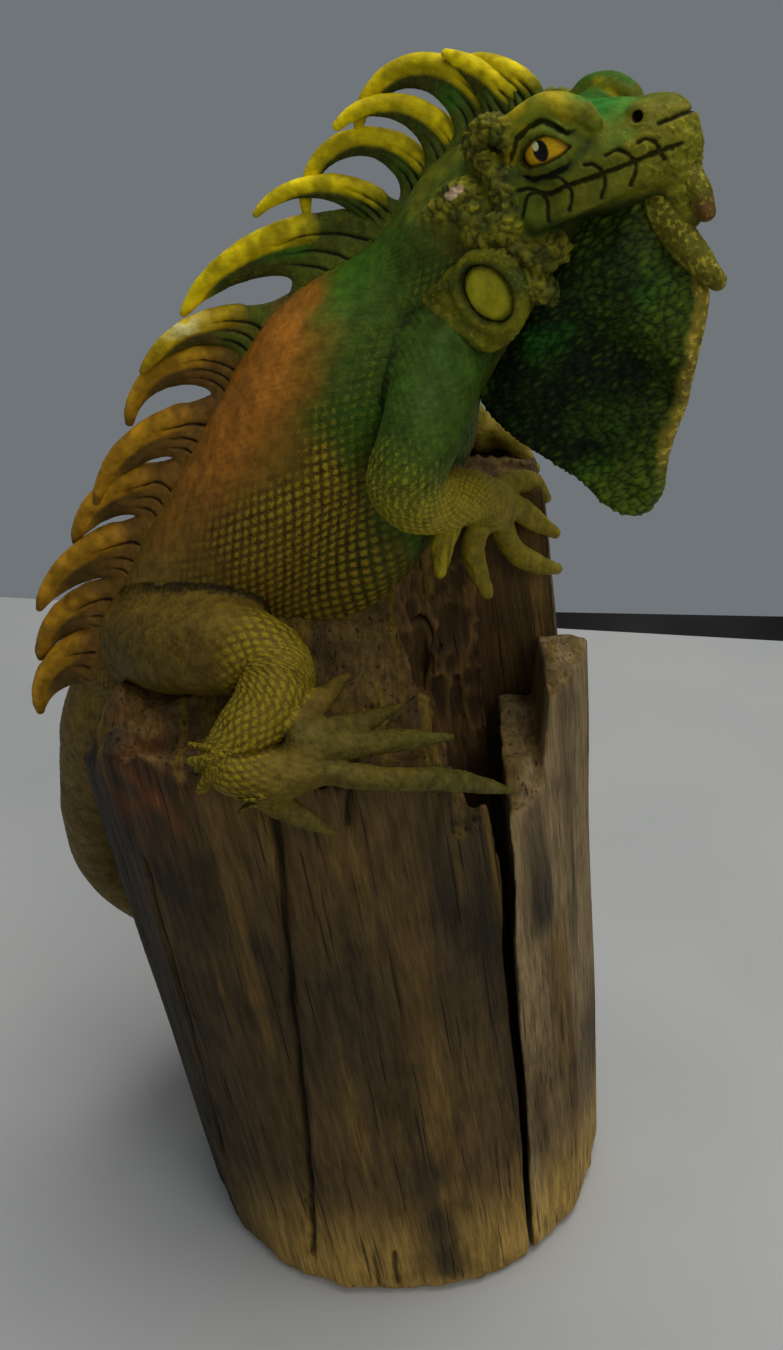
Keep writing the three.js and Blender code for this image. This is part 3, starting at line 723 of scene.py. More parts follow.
# Each limb: a chain of stations, each digit's course out to its tip, the digits' half thickness and that of
# their tips, and how softly the limb grows out of the torso.
LIMBS = {
    "foreleg_right": dict(
        chain=[(11, -38, 420, 13, 15), (6, -50, 407, 12.5, 13.5), (1, -60, 394, 12, 12.5),
               (-3, -62, 381, 11, 11.5), (6, -52, 370, 10, 9.5), (20, -33, 364, 8.5, 8.0),
               (29, -21, 355, 9.5, 6.2)],
        digits=[[(34, -10, 357), (44, 0, 354), (51, 5, 345)], [(37, -13, 350), (46, -6, 341), (54, -4, 335)],
                [(32, -18, 346), (38, -15, 333), (47, -12, 326), (55, -10, 323)],
                [(24, -26, 350), (22, -33, 341), (27, -38, 328)],
                [(15, -32, 356), (11, -38, 350), (10, -43, 340)]],
        thick=4.2, tip=2.0, root=5),
    "foreleg_left": dict(
        chain=[(8, 14, 414, 17, 19), (4, 36, 402, 15, 16), (-2, 47, 387, 13, 13), (8, 42, 374, 10, 11),
               (20, 38, 363, 8, 9), (28, 38, 357, 9, 6)],
        digits=[[(38, 30, 358), (48, 27, 347)], [(38, 38, 357), (47, 42, 341)],
                [(34, 48, 354), (40, 56, 334)], [(24, 52, 354), (22, 64, 334)],
                [(18, 48, 354), (8, 62, 338)]],
        thick=4.4, tip=2.2, root=14),
    "hindleg_right": dict(
        chain=[(-98, -18, 296, 18, 20), (-84, -40, 309, 19, 18), (-64, -58, 318, 17, 16.5),
               (-48, -69, 317, 13, 13.5), (-48, -79, 310, 11.5, 12), (-55, -87, 301, 11, 11),
               (-60, -92, 294, 10.5, 9.5), (-48, -96, 292, 11, 7.5), (-37, -95, 294, 10, 6)],
        digits=[[(-38, -89, 305), (-31, -80, 310), (-22, -69, 313)],
                [(-31, -90, 303), (-18, -81, 301), (-4, -68, 300)],
                [(-28, -93, 299), (-6, -85, 297), (14, -74, 291)],
                [(-28, -98, 293), (-4, -93, 287), (17, -81, 277), (38, -63, 259)],
                [(-49, -101, 286), (-38, -103, 279), (-27, -101, 270)]],
        thick=4.2, tip=1.0, root=7),
    "hindleg_left": dict(
        chain=[(-88, 34, 306, 22, 26), (-70, 62, 316, 21, 23), (-51, 84, 313, 17, 17),
               (-58, 97, 292, 12, 13), (-66, 102, 272, 11, 11), (-56, 104, 262, 9, 10)],
        digits=[[(-44, 103, 276), (-28, 100, 285)], [(-38, 104, 268), (-12, 99, 272)],
                [(-34, 104, 259), (-2, 99, 256)], [(-38, 104, 250), (-4, 99, 238)],
                [(-58, 105, 248), (-50, 103, 232)]],
        thick=4.8, tip=1.0, root=20),
}
LIMB_CHAINS = {name: Tube(plan["chain"], level=(0.2, 0.9, 0.3)) for name, plan in LIMBS.items()}


def digit_tubes(plan):
    """Each digit starts inside the wrist or ankle and tapers a little towards its tip."""
    wrist, thick = plan["chain"][-1][:3], plan["thick"]
    for course in plan["digits"]:
        halves = [thick * (1 - 0.28 * k / len(course)) for k in range(len(course) - 1)] + [plan["tip"]]
        stations = [(*spot, half, half) for spot, half in zip(course, halves)]
        yield Tube([(*wrist, thick * 1.25, thick * 1.1), *stations], level=(0.3, 0.4, 0.8), count=30)


def hindleg_look(p, chain, paint, brush):
    """A net of scales over the knee and shin; pebbled and wrinkled skin on the thigh and foot."""
    along, turn = chain.wrap(p)
    part = np.clip(along / chain.length, 0, 1)
    paint = blend(paint * 0.85, swatch(64, 56, 24), rise(part, 0.6, 0.95) * 0.8)
    shin = rise(part, 0.4, 0.52) * (1 - 0.6 * rise(part, 0.85, 1.0)) * (1 - rise(chain(p), 1.5, 4.0))
    cells = pebbles(p, (2.4, 2.4, 2.4))
    net = scale_rows(along, turn, 5.0, 22)
    wrinkle = curls(p, (1.8, 1.8, 2.6), 2)
    relief = 0.28 + 0.3 * cells * (1 - shin) + 0.65 * shin * net + 0.25 * wrinkle * (1 - shin)
    offset = 0.2 * cells * (1 - shin) + 0.7 * net * shin + 0.25 * wrinkle
    paint = blend(paint, OCHRE * 0.8, shin * 0.8)
    return offset, dict(paint=paint, brush=blend(brush, YELLOW * 0.8, shin), dry=0.15 + 0.55 * shin,
                        relief=relief)


def foreleg_look(p, chain, paint, brush):
    """A green upper arm and a yellow forearm and hand, with rows of scales that stand out at the elbow."""
    along, turn = chain.wrap(p)
    part = np.clip(along / chain.length, 0, 1)
    paint = blend(paint, GREEN, (1 - rise(part, 0.3, 0.55)) * 0.8)
    elbow = rise(part, 0.25, 0.5) * (1 - rise(part, 0.8, 1))
    rows = scale_rows(along, turn, 4.2, 26)
    wrinkle = curls(p, (1.8, 1.8, 2.6), 2)
    yellow = rise(part, 0.2, 0.45)
    paint = blend(paint, swatch(92, 80, 26), rise(part, 0.32, 0.62))
    relief = 0.25 + 0.6 * rows * (0.5 + 0.5 * elbow) + 0.15 * wrinkle
    offset = 0.6 * rows * (0.4 + 0.6 * elbow) + 0.25 * wrinkle
    return offset, dict(paint=paint, brush=blend(BRIGHT_GREEN * 1.4, YELLOW, yellow), dry=0.35 + 0.5 * yellow,
                        relief=relief)


def add_limb(name, material):
    plan, chain = LIMBS[name], LIMB_CHAINS[name]
    digits = list(digit_tubes(plan))
    look, slot = (hindleg_look, "brown_paint") if name.startswith("hind") else (foreleg_look, "green_paint")

    def flesh(p):
        d = chain(p)
        for digit in digits:
            d = join(d, digit(p), 3.0)
        return d

    def shape(p):
        d = flesh(p)
        return np.maximum(join(d, torso_shape(p), plan["root"]), d - 0.62 * plan["root"])

    def finish(p, n):
        paint, brush, _, _ = skin_colours(p)
        offset, fields = look(p, chain, paint, brush)
        part = chain.wrap(p)[0] / chain.length
        # painted shade: the relief, and so the paint, darkens in the crease where the limb grows out of the
        # torso
        crease = rise(torso_shape(p), 0.0, 4.5) ** (0.3 + 0.7 * rise(part, 0.05, 0.25))
        fields["relief"] = fields["relief"] * (0.2 + 0.8 * crease)
        return offset + 0.5 * noise(p, 9, 3), fields

    spots = np.array([spot[:3] for spot in plan["chain"]] + sum(plan["digits"], []), float)
    sculpt(name + "_skin", name, shape, spots.min(0) - 34, spots.max(0) + 34, 0.62, finish, material)


# ---- the head ----
# h is points in the head's frame and m the same on its right side; f, s and u are forwards, leftwards and up.
SKULL = Tube([(-30, 0, -4, 22, 22), (-14, 0, -1, 25, 21), (4, 0, 1, 24, 18.5), (20, 0, -1, 20, 16),
              (28, 0, -2.5, 16.8, 14.5), (35, 0, -3.5, 13.2, 12.5)])
BROW = Tube([(3, -21, 12, 3, 3), (6, -20.5, 17, 3.6, 3.6), (13, -19, 18.6, 4.2, 4.2),
             (20, -18, 16.8, 4.2, 4.2), (25, -16.5, 12.5, 3.6, 3.6), (27, -15.5, 9, 2.6, 2.6)], count=40)
JOWL = Tube([(-22, -14, -18, 13, 15), (-8, -13, -14, 10, 12)], count=12)
LIP = Tube([(2, -22, -9.5, 4, 3.4), (14, -19.5, -9.5, 4, 3.6), (27, -14.5, -9.3, 3.8, 3.4),
            (38, -9.5, -9.5, 3.2, 3.2)], count=30)
MUZZLE = Tube([(14, -20, -1.5, 3, 2.6), (26, -15.5, -2, 3.2, 2.8), (38, -11, -2, 3, 3)], count=24)
CHIN = Tube([(41, 0, -8, 8, 5.5), (41, -1, -16, 6, 5), (41.5, -2, -21, 4, 4)], count=14)
THROAT = Tube([(20, 0, -10, 9, 8), (33, 0, -14, 7, 8), (36, -1, -26, 5, 6)], count=14)
NOSTRIL = (37.6, -10.4, 5.4)
EYE = dict(f=12.4, s=14.6, u=7.6, radius=9.8)
IRIS = (12.2, 7.8)
PUPIL, GLINT = dict(centre=(12.3, 7.8), half=(2.35, 3.0)), dict(centre=(11.2, 9.6), half=(1.15, 1.35))
EYE_TOP = [(4.0, 7.2), (6.5, 9.9), (11.3, 11.5), (15.5, 11.4), (18.3, 9.2), (20.8, 5.6)]
EYE_BOTTOM = [(4.0, 6.8), (6.5, 4.6), (12.1, 3.9), (17.5, 4.1), (20.8, 5.4)]
# Pressed lines in the side view, forwards and up: the mouth, the hooks across it and the cheek's fold.
MOUTH = [(0.5, 0.2), (4.1, -0.7), (8.2, -3.9), (12, -4.5), (15.3, -4.4), (24, -5.2), (31.6, -5.7), (37, -5.8),
         (46, -6.4)]
HOOKS = [[(11.5, -0.2), (14.1, -1.0), (15.3, -3.6), (15.5, -8.1), (13.7, -11.0)],
         [(22.0, -0.8), (24.3, -1.6), (25.5, -4.6), (25.2, -8.4), (22.8, -11.6)],
         [(28.2, -0.8), (31.3, -0.7), (33.9, -3.6), (33.9, -7.9), (30.8, -12.0)],
         [(37.0, -1.4), (39.6, -1.2), (41.4, -3.4), (41.6, -8.5)]]
CHEEK_FOLD = [(-1, -8), (2.5, -2.6), (6.5, -3.0), (8.0, -7.5), (6.5, -12)]
WARTS = [  # soft lumps of curly warts: path in the head's frame, then radius
    ([(-10, -20, 17), (-3, -21, 20), (2, -22, 17)], 4.4),
    ([(-7, -23, 12), (-4, -24.5, 5), (-5, -24, -1)], 4.0),
    ([(-38, -24, -5), (-30, -25, 0), (-22, -26, 4), (-16, -26, 5)], 5.8),
    ([(-17, -26, 0), (-14, -27, -8), (-7, -26.5, -7)], 5.2),
    ([(-8, -25, -15), (-4, -23, -20), (2, -19, -20)], 5.0),
    ([(-9, -26, -26), (-4, -23, -30)], 4.6),
]
WART_TUBES = [Tube([(*spot, radius, radius) for spot in course], count=20) for course, radius in WARTS]


def eye_rim(f, u):
    """Signed distance, in the side view, to the almond opening of the eye."""
    top = np.interp(f, *zip(*EYE_TOP))
    bottom = np.interp(f, *zip(*EYE_BOTTOM))
    d = np.maximum(u - top, bottom - u) * 0.85
    back, ahead = EYE_TOP[0], EYE_TOP[-1]
    d = np.where(f < back[0], np.hypot(f - back[0], u - back[1]), d)
    return np.where(f > ahead[0], np.hypot(f - ahead[0], u - ahead[1]), d)


def mirrored(h):
    """Both sides of the head are made as its right side."""
    return np.stack([h[:, 0], -np.abs(h[:, 1]), h[:, 2]], axis=1)


def warts_relief(h):
    """Rounded lumps and short worms of clay."""
    bent = h + np.stack([1.2 * noise(h, 3.5, 21), 0 * h[:, 0], 1.2 * noise(h, 3.5, 22)], axis=1)
    return 0.75 * pebbles(bent, (3.6, 6, 3.0)) + 0.25 * curls(h, 2.2, 4)


def warts_distance(m):
    d = WART_TUBES[0](m)
    for tube in WART_TUBES[1:]:
        d = join(d, tube(m), 2.0)
    return d


def head_flesh(h):
    m = mirrored(h)
    f, s, u = m.T
    d = SKULL(h)
    d = join(d, JOWL(m), 10)
    d = join(d, (oval(h, (39.5, 0, -1.0), (8.5, 10.5, 9.5)) - 1) * 9, 5)
    d = join(d, LIP(m), 4)
    d = join(d, MUZZLE(m), 4)
    rim = eye_rim(f, u)
    ball = np.linalg.norm(m - (EYE["f"], -EYE["s"], EYE["u"]), axis=1) - EYE["radius"]
    d = join(d, ball - 1.3, 2.5)
    d = join(d, BROW(m), 2.0)
    d = join(d, np.hypot(rim - 1.3, ball - 1.2) - 1.15, 1.2)
    d = join(d, np.hypot(rim - 4.6, ball - 1.6) - 0.2 - 0.9 * rise(5 - u, 0, 4), 1.4)
    d = cut(d, np.maximum(rim, s + 15), 0.5)
    d = join(d, warts_distance(m), 3.0)
    d = join(d, (oval(m, (37.0, -7.4, 5.6), (4.2, 3.4, 3.6)) - 1) * 3.4, 2)
    return cut(d, (oval(m, NOSTRIL, (1.5, 3.2, 1.4)) - 1) * 1.5, 0.8)


def head_shape(h):
    d = join(join(head_flesh(h), CHIN(h), 4), THROAT(h), 6)
    return np.maximum(join(d, TORSO_FLESH(from_head(h)), 9), d - 9)


def head_finish(p, n):
    h = to_head(p)
    m = mirrored(h)
    f, s, u = m.T
    side = m[:, [0, 2]]
    flank = rise(-s, 3, 6)
    mouth = path_distance(side, MOUTH, 120)
    lines = groove(mouth, 0.62) * rise(f, -1, 1.5)
    for hook in HOOKS + [CHEEK_FOLD]:
        lines = np.maximum(lines, 0.85 * groove(path_distance(side, hook), 0.55) * flank)
    nose_line = groove(u - 1.2 + 0.1 * (f - 44), 0.55) * rise(f, 42, 44)
    lines = np.maximum(lines, nose_line)
    rim = eye_rim(f, u)
    brow_fold = groove(np.abs(rim - 3.3), 0.7) * rise(u, 7.5, 10) * (1 - rise(f, 22, 25)) * flank
    lines = np.maximum(lines, 0.8 * brow_fold)
    under = groove(np.abs(rim - 3.0), 0.6) * rise(4.5 - u, 0, 2) * (1 - rise(f, 17, 20)) * flank
    lines = np.maximum(lines, 0.8 * under)
    warty = rise(2.0 - warts_distance(m), 0, 2.2)
    worms = warts_relief(h)
    chin_rough = rise(f, 38, 42) * rise(-u, 4, 9)
    stipple = speckle(h, 1.1, 6)
    offset = (-1.15 * lines + warty * (1.5 * worms - 0.6) + 0.16 * stipple + 0.35 * noise(h, 5, 8)
              + 0.6 * chin_rough * (curls(h, 2.4, 9) - 0.5))
    wrinkled = rise(f, 24, 38) * (0.4 + 0.6 * rise(-u, -6, 2))
    creases = curls(h, (3.2, 3.2, 2.2), 12)
    offset = offset + wrinkled * 0.5 * (creases - 0.5)
    relief = 0.36 + 0.34 * stipple - 0.9 * lines + 0.3 * wrinkled * (creases - 0.4)
    relief = relief * (1 - warty) + warty * (0.12 + 0.88 * worms)
    # painted shade in the gap between lid and ball: the relief, and so the paint, is darker there
    lid_gap_shade = groove(rim - 0.1, 0.5) * flank * rise(-s, 16, 18)
    relief = relief * (1 - 0.7 * lid_gap_shade)
    paint = blend(swatch(72, 76, 18), swatch(52, 66, 18), rise(noise(h, 9, 3), -0.3, 0.5))
    top = rise(n @ HEAD_AXES[2], 0.35, 0.85)
    paint = blend(paint, swatch(26, 84, 26), top * rise(f, 14, 22) * (1 - rise(f, 34, 40)) * 0.9)
    muzzle = rise(f, 26, 40)
    paint = blend(paint, swatch(84, 80, 18), muzzle * (1 - top * 0.6))
    lips = rise(-u, 0, 5) * rise(f, 4, 14)
    paint = blend(paint, swatch(80, 80, 18), lips * 0.7)
    brow = rise(3.2 - BROW(m), 0, 2.0) * rise(rim, 0.5, 2.0)
    far = rise(h[:, 1], 2, 6)
    mottled = blend(swatch(122, 108, 14), swatch(78, 86, 18), rise(noise(h, 4, 14) + 0.5 * far, 0.0, 0.7))
    paint = blend(paint, mottled, brow * (1 - rise(f, 21, 27)))
    paint = blend(paint, swatch(24, 70, 18), far * top * rise(f, 4, 10) * 0.8)
    # below the jaw line darker: the throat's dark green and painted shade under the head
    below = rise(-u - 0.12 * f, 9.5, 13.5) * flank * (1 - rise(f, 34, 40))
    paint = blend(paint, DEEP_GREEN_AND_SHADE, below * 0.85)
    wart_paint = blend(swatch(84, 80, 20), swatch(54, 56, 20), rise(noise(h, 5, 17), -0.2, 0.5))
    paint = blend(paint, wart_paint, warty * 0.85)
    socket = hill(rim, 3.4, 1.2) * flank * rise(-s, 15, 18) * (1 - brow)
    paint = blend(paint, swatch(34, 46, 22), socket * 0.8)
    chip = rise(1.1 - oval(h, (-16, -28, 7.5), (3.6, 7, 1.9)) + 0.3 * noise(h, 2.5, 3), 0, 0.25)
    paint = blend(paint, swatch(140, 118, 130), chip)
    dark = rise(1.25 - oval(m, NOSTRIL, (1.5, 4.0, 1.4)), 0, 0.3)
    paint = blend(paint, swatch(16, 14, 8), dark)
    brown = hill(np.linalg.norm(h - (39, 8, 9), axis=1), 0, 4) * rise(h[:, 1], 1, 4)
    paint = blend(paint, swatch(110, 60, 44), brown * 0.9)
    neck = rise(SKULL(h), 3.0, 8.0) * (1 - warty) * rise(-f, 2, 12)
    sunk, body = torso_finish(p, n)
    paint = blend(paint, body["paint"], neck)
    brush = blend(YELLOW * 0.9, PALE_YELLOW, muzzle)
    dry = np.clip(0.5 + 0.35 * muzzle + 0.3 * brow + 0.3 * warty - 0.6 * below - dark - chip, 0, 1)
    relief = np.clip(relief + 0.5 * chip, 0, 1)
    relief, dry = between(relief, body["relief"], neck), between(dry, body["dry"], neck)
    brush = blend(brush, body["brush"], neck)
    return between(offset, sunk, neck), dict(paint=paint, brush=brush, dry=dry, relief=relief)


def add_eye(side, name, material):
    """A ball that looks out between the lids: amber, with a dark oval pupil and one painted glint."""
    rings, sectors = 90, 128
    polar = np.linspace(0, math.pi, rings + 1)[1:-1]
    turn = np.linspace(0, 2 * math.pi, sectors, endpoint=False)
    polar, turn = np.meshgrid(polar, turn, indexing="ij")
    ball = np.stack([np.sin(polar) * np.cos(turn), -np.cos(polar), np.sin(polar) * np.sin(turn)], -1)
    ball = np.vstack([ball.reshape(-1, 3), [[0, -1, 0], [0, 1, 0]]])
    rows = np.arange((rings - 1) * sectors).reshape(rings - 1, sectors)
    after = np.roll(rows, -1, axis=1)
    quads = np.stack([rows[:-1], after[:-1], after[1:], rows[1:]], -1).reshape(-1, 4)
    top, last = len(ball) - 2, len(ball) - 1
    caps = np.concatenate([np.stack([np.full(sectors, top), after[0], rows[0]], -1),
                           np.stack([np.full(sectors, last), rows[-1], after[-1]], -1)])
    f, u = (ball * EYE["radius"])[:, [0, 2]].T + [[EYE["f"]], [EYE["u"]]]
    ahead = ball[:, 1] < 0
    h = ball * EYE["radius"] + (EYE["f"], -EYE["s"], EYE["u"])
    seen = np.stack([f, u], axis=1)
    iris = np.linalg.norm(seen - IRIS, axis=1)
    paint = blend(AMBER, swatch(150, 84, 4), rise(iris, 5, 9))
    paint = blend(paint, swatch(168, 136, 6), hill(iris, 4.5, 1.6) * 0.7)
    paint = blend(paint, swatch(2, 2, 2), rise(1.12 - oval(seen, **PUPIL), 0, 0.14) * ahead)
    paint = blend(paint, swatch(176, 176, 176), rise(1.1 - oval(seen, **GLINT), 0, 0.2) * ahead)
    # painted shadow of the lids: a dark band on the ball just inside the opening
    lid_shadow = rise(eye_rim(f, u), -1.0, -0.1)
    paint = blend(paint, swatch(24, 18, 8), lid_shadow * ahead * 0.9)
    h[:, 1] *= -side
    faces = [tuple(face) if side < 0 else tuple(face[::-1]) for face in (*quads, *caps)]
    mesh = bpy.data.meshes.new(name + "_ball")
    mesh.from_pydata([tuple(spot) for spot in from_head(h) * MM], [], faces)
    make_piece(mesh, name, dict(paint=paint), material)


# The cheek's flap with its raised rim, and the round shield set in it.
FLAP = dict(f=-18.5, u=-26, s=-30)
FLAP_EDGE = np.array([(-40.5, -18.0), (-32, -16.0), (-24, -13.4), (-16, -11.0), (-8.2, -13.9), (-5.6, -23.4),
                      (-8.6, -31.7), (-15.5, -38.1), (-24.5, -40.2), (-31.3, -33.2), (-36.5, -25.4)])
SHIELD = dict(f=-17.2, u=-24.0, wide=6.9, long=9.0, tilt=math.radians(22))


def flap_edge(f, u):
    """Signed distance, seen from the side, to the flap's outline."""
    centre = FLAP_EDGE.mean(0)
    angles = np.arctan2(*(FLAP_EDGE - centre).T[::-1])
    order = np.argsort(angles)
    reach = np.linalg.norm(FLAP_EDGE - centre, axis=1)[order]
    angles = np.concatenate([angles[order] + lap * 2 * math.pi for lap in (-1, 0, 1)])
    turn = np.arctan2(u - centre[1], f - centre[0])
    return np.hypot(f - centre[0], u - centre[1]) - np.interp(turn, angles, np.tile(reach, 3))


def from_shield(f, u):
    """Distance from the middle of the oval shield, which is 1 at its edge."""
    x, y = f - SHIELD["f"], u - SHIELD["u"]
    cosine, sine = math.cos(SHIELD["tilt"]), math.sin(SHIELD["tilt"])
    return np.hypot((x * cosine + y * sine) / SHIELD["wide"], (-x * sine + y * cosine) / SHIELD["long"])


def cheek_plane(f, u):
    """How far out the cheek's skin lies: it bends inwards to the front and below."""
    ahead, above = f - FLAP["f"], u - FLAP["u"]
    return FLAP["s"] - 1.5 + 0.004 * ahead ** 2 + 0.10 * ahead + 0.004 * above ** 2


def flap_shape(h):
    f, s, u = mirrored(h).T
    edge = flap_edge(f, u)
    skin = cheek_plane(f, u)
    d = np.maximum(edge, np.abs(s - skin - 2.2) - 3.2)
    radial = from_shield(f, u)
    ring = np.hypot((radial - 1.36) * 8.6, s - skin + 0.6) - 1.9
    lip = np.hypot(edge + 1.6, s - skin + 0.3) - 2.1
    d = join(d, np.maximum(ring, edge), 2.5)
    d = join(d, lip, 2.0)
    return cut(d, (radial - 1.10) * 8.0 + np.maximum(0, s - skin - 1.0), 0.6)


def shield_shape(h):
    f, s, u = mirrored(h).T
    radial = from_shield(f, u)
    dome = cheek_plane(f, u) - 1.6 * np.sqrt(np.clip(1 - radial ** 2, 0, 1))
    return np.maximum((radial - 1.0) * 8.4, np.abs(s - dome - 2.5) - 2.5) - 0.35


def flap_finish(p, n):
    h = to_head(p)
    f, _, u = mirrored(h).T
    radial = from_shield(f, u)
    stipple, worms = speckle(h, 1.2, 3), warts_relief(h)
    outer = rise(radial, 1.5, 1.9) * rise(f, -25, -11)
    relief = (0.5 + 0.3 * stipple) * (1 - outer) + outer * (0.1 + 0.9 * worms)
    paint = blend(swatch(76, 74, 14), swatch(44, 52, 14), rise(noise(h, 7, 5), -0.2, 0.6))
    # the relief drops inside the ring round the shield: painted shade in that groove
    return 0.15 * stipple + outer * (1.3 * worms - 0.4), dict(
        paint=paint, brush=YELLOW, dry=0.7, relief=relief * (0.35 + 0.65 * rise(radial, 1.12, 1.3)))


def shield_finish(p, n):
    h = to_head(p)
    f, _, u = mirrored(h).T
    stipple = speckle(h, 1.2, 3)
    paint = blend(swatch(118, 114, 26), swatch(70, 70, 15), rise(from_shield(f, u), 0.78, 1.0))
    return 0.15 * stipple, dict(paint=paint, brush=YELLOW, dry=0.7, relief=0.5 + 0.3 * stipple)


# ---- chin spikes and dewlap ----
SPIKES = {
    "chin_spike_1": [(40.5, -1, -13, 4.2, 4.6), (43.5, -3, -20, 3.8, 4.2), (44.5, -4, -27, 2.8, 2.8)],
    "chin_spike_2": [(32, -3, -20, 5.0, 5.2), (34.5, -4.5, -31, 4.4, 5.2), (38.5, -5, -41, 3.8, 4.0),
                     (40.8, -4.5, -47, 2.8, 2.8)],
    "chin_spike_3": [(26, 4, -20, 3.6, 3.8), (29, 5.5, -29, 3.4, 3.6), (32, 6, -38, 2.0, 2.0)],
}


def add_spike(name, material):
    tube = Tube(SPIKES[name], count=30)
    bare_tip = name == "chin_spike_1"

    def finish(p, n):
        h = to_head(p)
        stipple = speckle(h, 1.0, 5)
        end = rise(tube.wrap(h)[0] / tube.length, 0.6, 1.0)
        paint = blend(swatch(70, 66, 16), swatch(70, 44, 28), end * (0.9 if bare_tip else 0.1))
        return 0.35 * stipple + 0.3 * noise(h, 4), dict(
            paint=paint, brush=PALE_YELLOW, dry=0.9 - 0.5 * end * bare_tip, relief=0.25 + 0.7 * stipple)

    spots = np.array(SPIKES[name])[:, :3]
    sculpt(name + "_skin", name, tube, spots.min(0) - 8, spots.max(0) + 8, 0.5, finish, material,
           True)


DEWLAP_EDGE = [(30, -10), (36, -24), (36.5, -38), (34.6, -49), (31, -57), (23, -70), (12, -82), (2, -95),
               (-5, -106), (-14, -110.5), (-22, -105), (-28, -93), (-35, -84), (-44, -73), (-50, -62),
               (-50, -52), (-42, -38), (-26, -22), (-4, -10)]
DEWLAP_CORNERS = through(DEWLAP_EDGE + DEWLAP_EDGE[:1], 90)[:-1]


def polygon_distance(x, y, corners):
    """Signed distance to a closed outline."""
    best = np.full(len(x), 1e9)
    inside = np.zeros(len(x), bool)
    for (ax, ay), (bx, by) in zip(corners, np.roll(corners, -1, axis=0)):
        t = np.clip(((x - ax) * (bx - ax) + (y - ay) * (by - ay)) / ((bx - ax) ** 2 + (by - ay) ** 2), 0, 1)
        best = np.minimum(best, np.hypot(x - ax - t * (bx - ax), y - ay - t * (by - ay)))
        cross = (ay > y) != (by > y)
        inside ^= cross & (x < (bx - ax) * (y - ay) / (by - ay + 1e-12) + ax)
    return np.where(inside, -best, best)


def dewlap_middle(f, u):
    """How the flap's middle sheet sways sideways."""
    low = rise(-u, 30, 60)
    fold = -5.5 * hill(f, 22, 11) * hill(u, -62, 20) + 4.0 * hill(f + 0.55 * (u + 70), 8, 9) * low
    return -1.0 + fold - 4.0 * rise(-f, 10, 45) * low


def dewlap_shape(h):
    f, s, u = h.T
    edge = polygon_distance(f, u, DEWLAP_CORNERS)
    upper = rise(u, -75, -18)
    half = 2.6 + 10.5 * upper * rise(-edge, 2, 22) + 1.2 * rise(-edge, 0, 12)
    middle = dewlap_middle(f, u)
    face = np.abs(s - middle) - half
    body = -join(-edge, -face, 5.0)
    rim = np.hypot(edge + 1.6, s - middle) - 2.9
    return join(body, rim, 2.5)


def dewlap_finish(p, n):
    h = to_head(p)
    f, s, u = h.T
    edge = polygon_distance(f, u, DEWLAP_CORNERS)
    bent = np.stack([f + 0.3 * u, s, u - 0.25 * f], axis=1)
    cells = pebbles(bent, (4.6, 6.0, 1.9))
    rim = rise(edge + 1.5 * noise(h, 5, 18), -2.8, -0.2) * rise(f + 0.28 * u, -34, -22)
    speck = speckle(h, 1.3, 4)
    relief = (0.12 + 0.8 * cells) * (1 - rim) + rim * (0.2 + 0.75 * speck)
    offset = 0.8 * cells * (1 - rim) + 0.35 * speck * rim
    paint = blend(swatch(16, 28, 7), swatch(32, 50, 12), rise(noise(h, 14, 6), -0.3, 0.5))
    # painted highlight: a brighter green in patches over the lower sheet
    bright = rise(noise(h, (26, 26, 12), 8), 0.1, 0.7) * rise(-u, 28, 40)
    paint = blend(paint, swatch(20, 78, 18), bright * 0.7)
    low = rise(-u, 84, 104)
    paint = blend(paint, swatch(72, 84, 26), low * 0.85)
    front = hill(f + 0.5 * (u + 60), 22, 12) * hill(u, -62, 22)
    paint = blend(paint, swatch(46, 62, 16), front * 0.6)
    beside = rise(edge + 3 * noise(h, 9, 19), -17, -6) * rise(f + 0.28 * u, -34, -14)
    paint = blend(paint, swatch(54, 64, 12), beside * 0.6)
    paint = blend(paint, swatch(96, 84, 34), rim * 0.9)
    brush = blend(swatch(74, 88, 18), swatch(160, 140, 70), rim)
    dry = 0.3 + 0.7 * rim + 0.6 * low + 0.5 * front + 0.45 * beside
    return offset, dict(paint=paint, brush=brush, dry=dry, relief=relief)


# ---- the crest ----
# Each blade springs from x, z with a length and a half width; it leans, then curls, in degrees.
CREST = [(35, 489, 22, 4.3, 117, 62), (30, 485, 27, 5.6, 122, 39), (22, 472, 65, 6.8, 86, 187),
         (12, 460, 54, 5.8, 85, 142), (3, 448, 70, 5.6, 78, 205), (-7, 447, 51, 4.7, 126, 101),
         (-22, 440, 64, 8.7, 173, 62), (-51, 411, 48, 6.2, 162, 75), (-60, 395, 52, 6.7, 153, 108),
         (-70, 375, 57, 7.9, 175, 77), (-87, 350, 48, 8.8, 170, 81), (-98, 327, 53, 9.4, 178, 66),
         (-112, 303, 45, 8.5, 183, 72), (-118, 280, 43, 9.5, 178, 89)]
BLADE_THICK, BLADE_ROOT = 2.9, 12
BLADE_SWAY = 2.2  # each tip leans that far to its own side, turn about
PALE_CHIP_ON = 7  # the blade with paint knocked off its outer edge


def crest_swing(x):
    """The crest turns towards the viewer's side together with the head."""
    return -2 - 20 * ease((x + 5) / 50)


def blade_course(k, count=16):
    x, z, length, half, lean, curl = CREST[k]
    t = np.linspace(0, 1, count)
    angle = np.radians(lean + curl * t)
    along = np.stack([np.cos(angle), np.sin(angle)], 1) * length / (count - 1)
    spots = np.array([x, z]) + np.vstack([[0, 0], np.cumsum(along[:-1], axis=0)])
    return t, spots, angle, half * (1 + 0.55 * (1 - t) ** 3) * (1 - 0.9 * t ** 1.8)


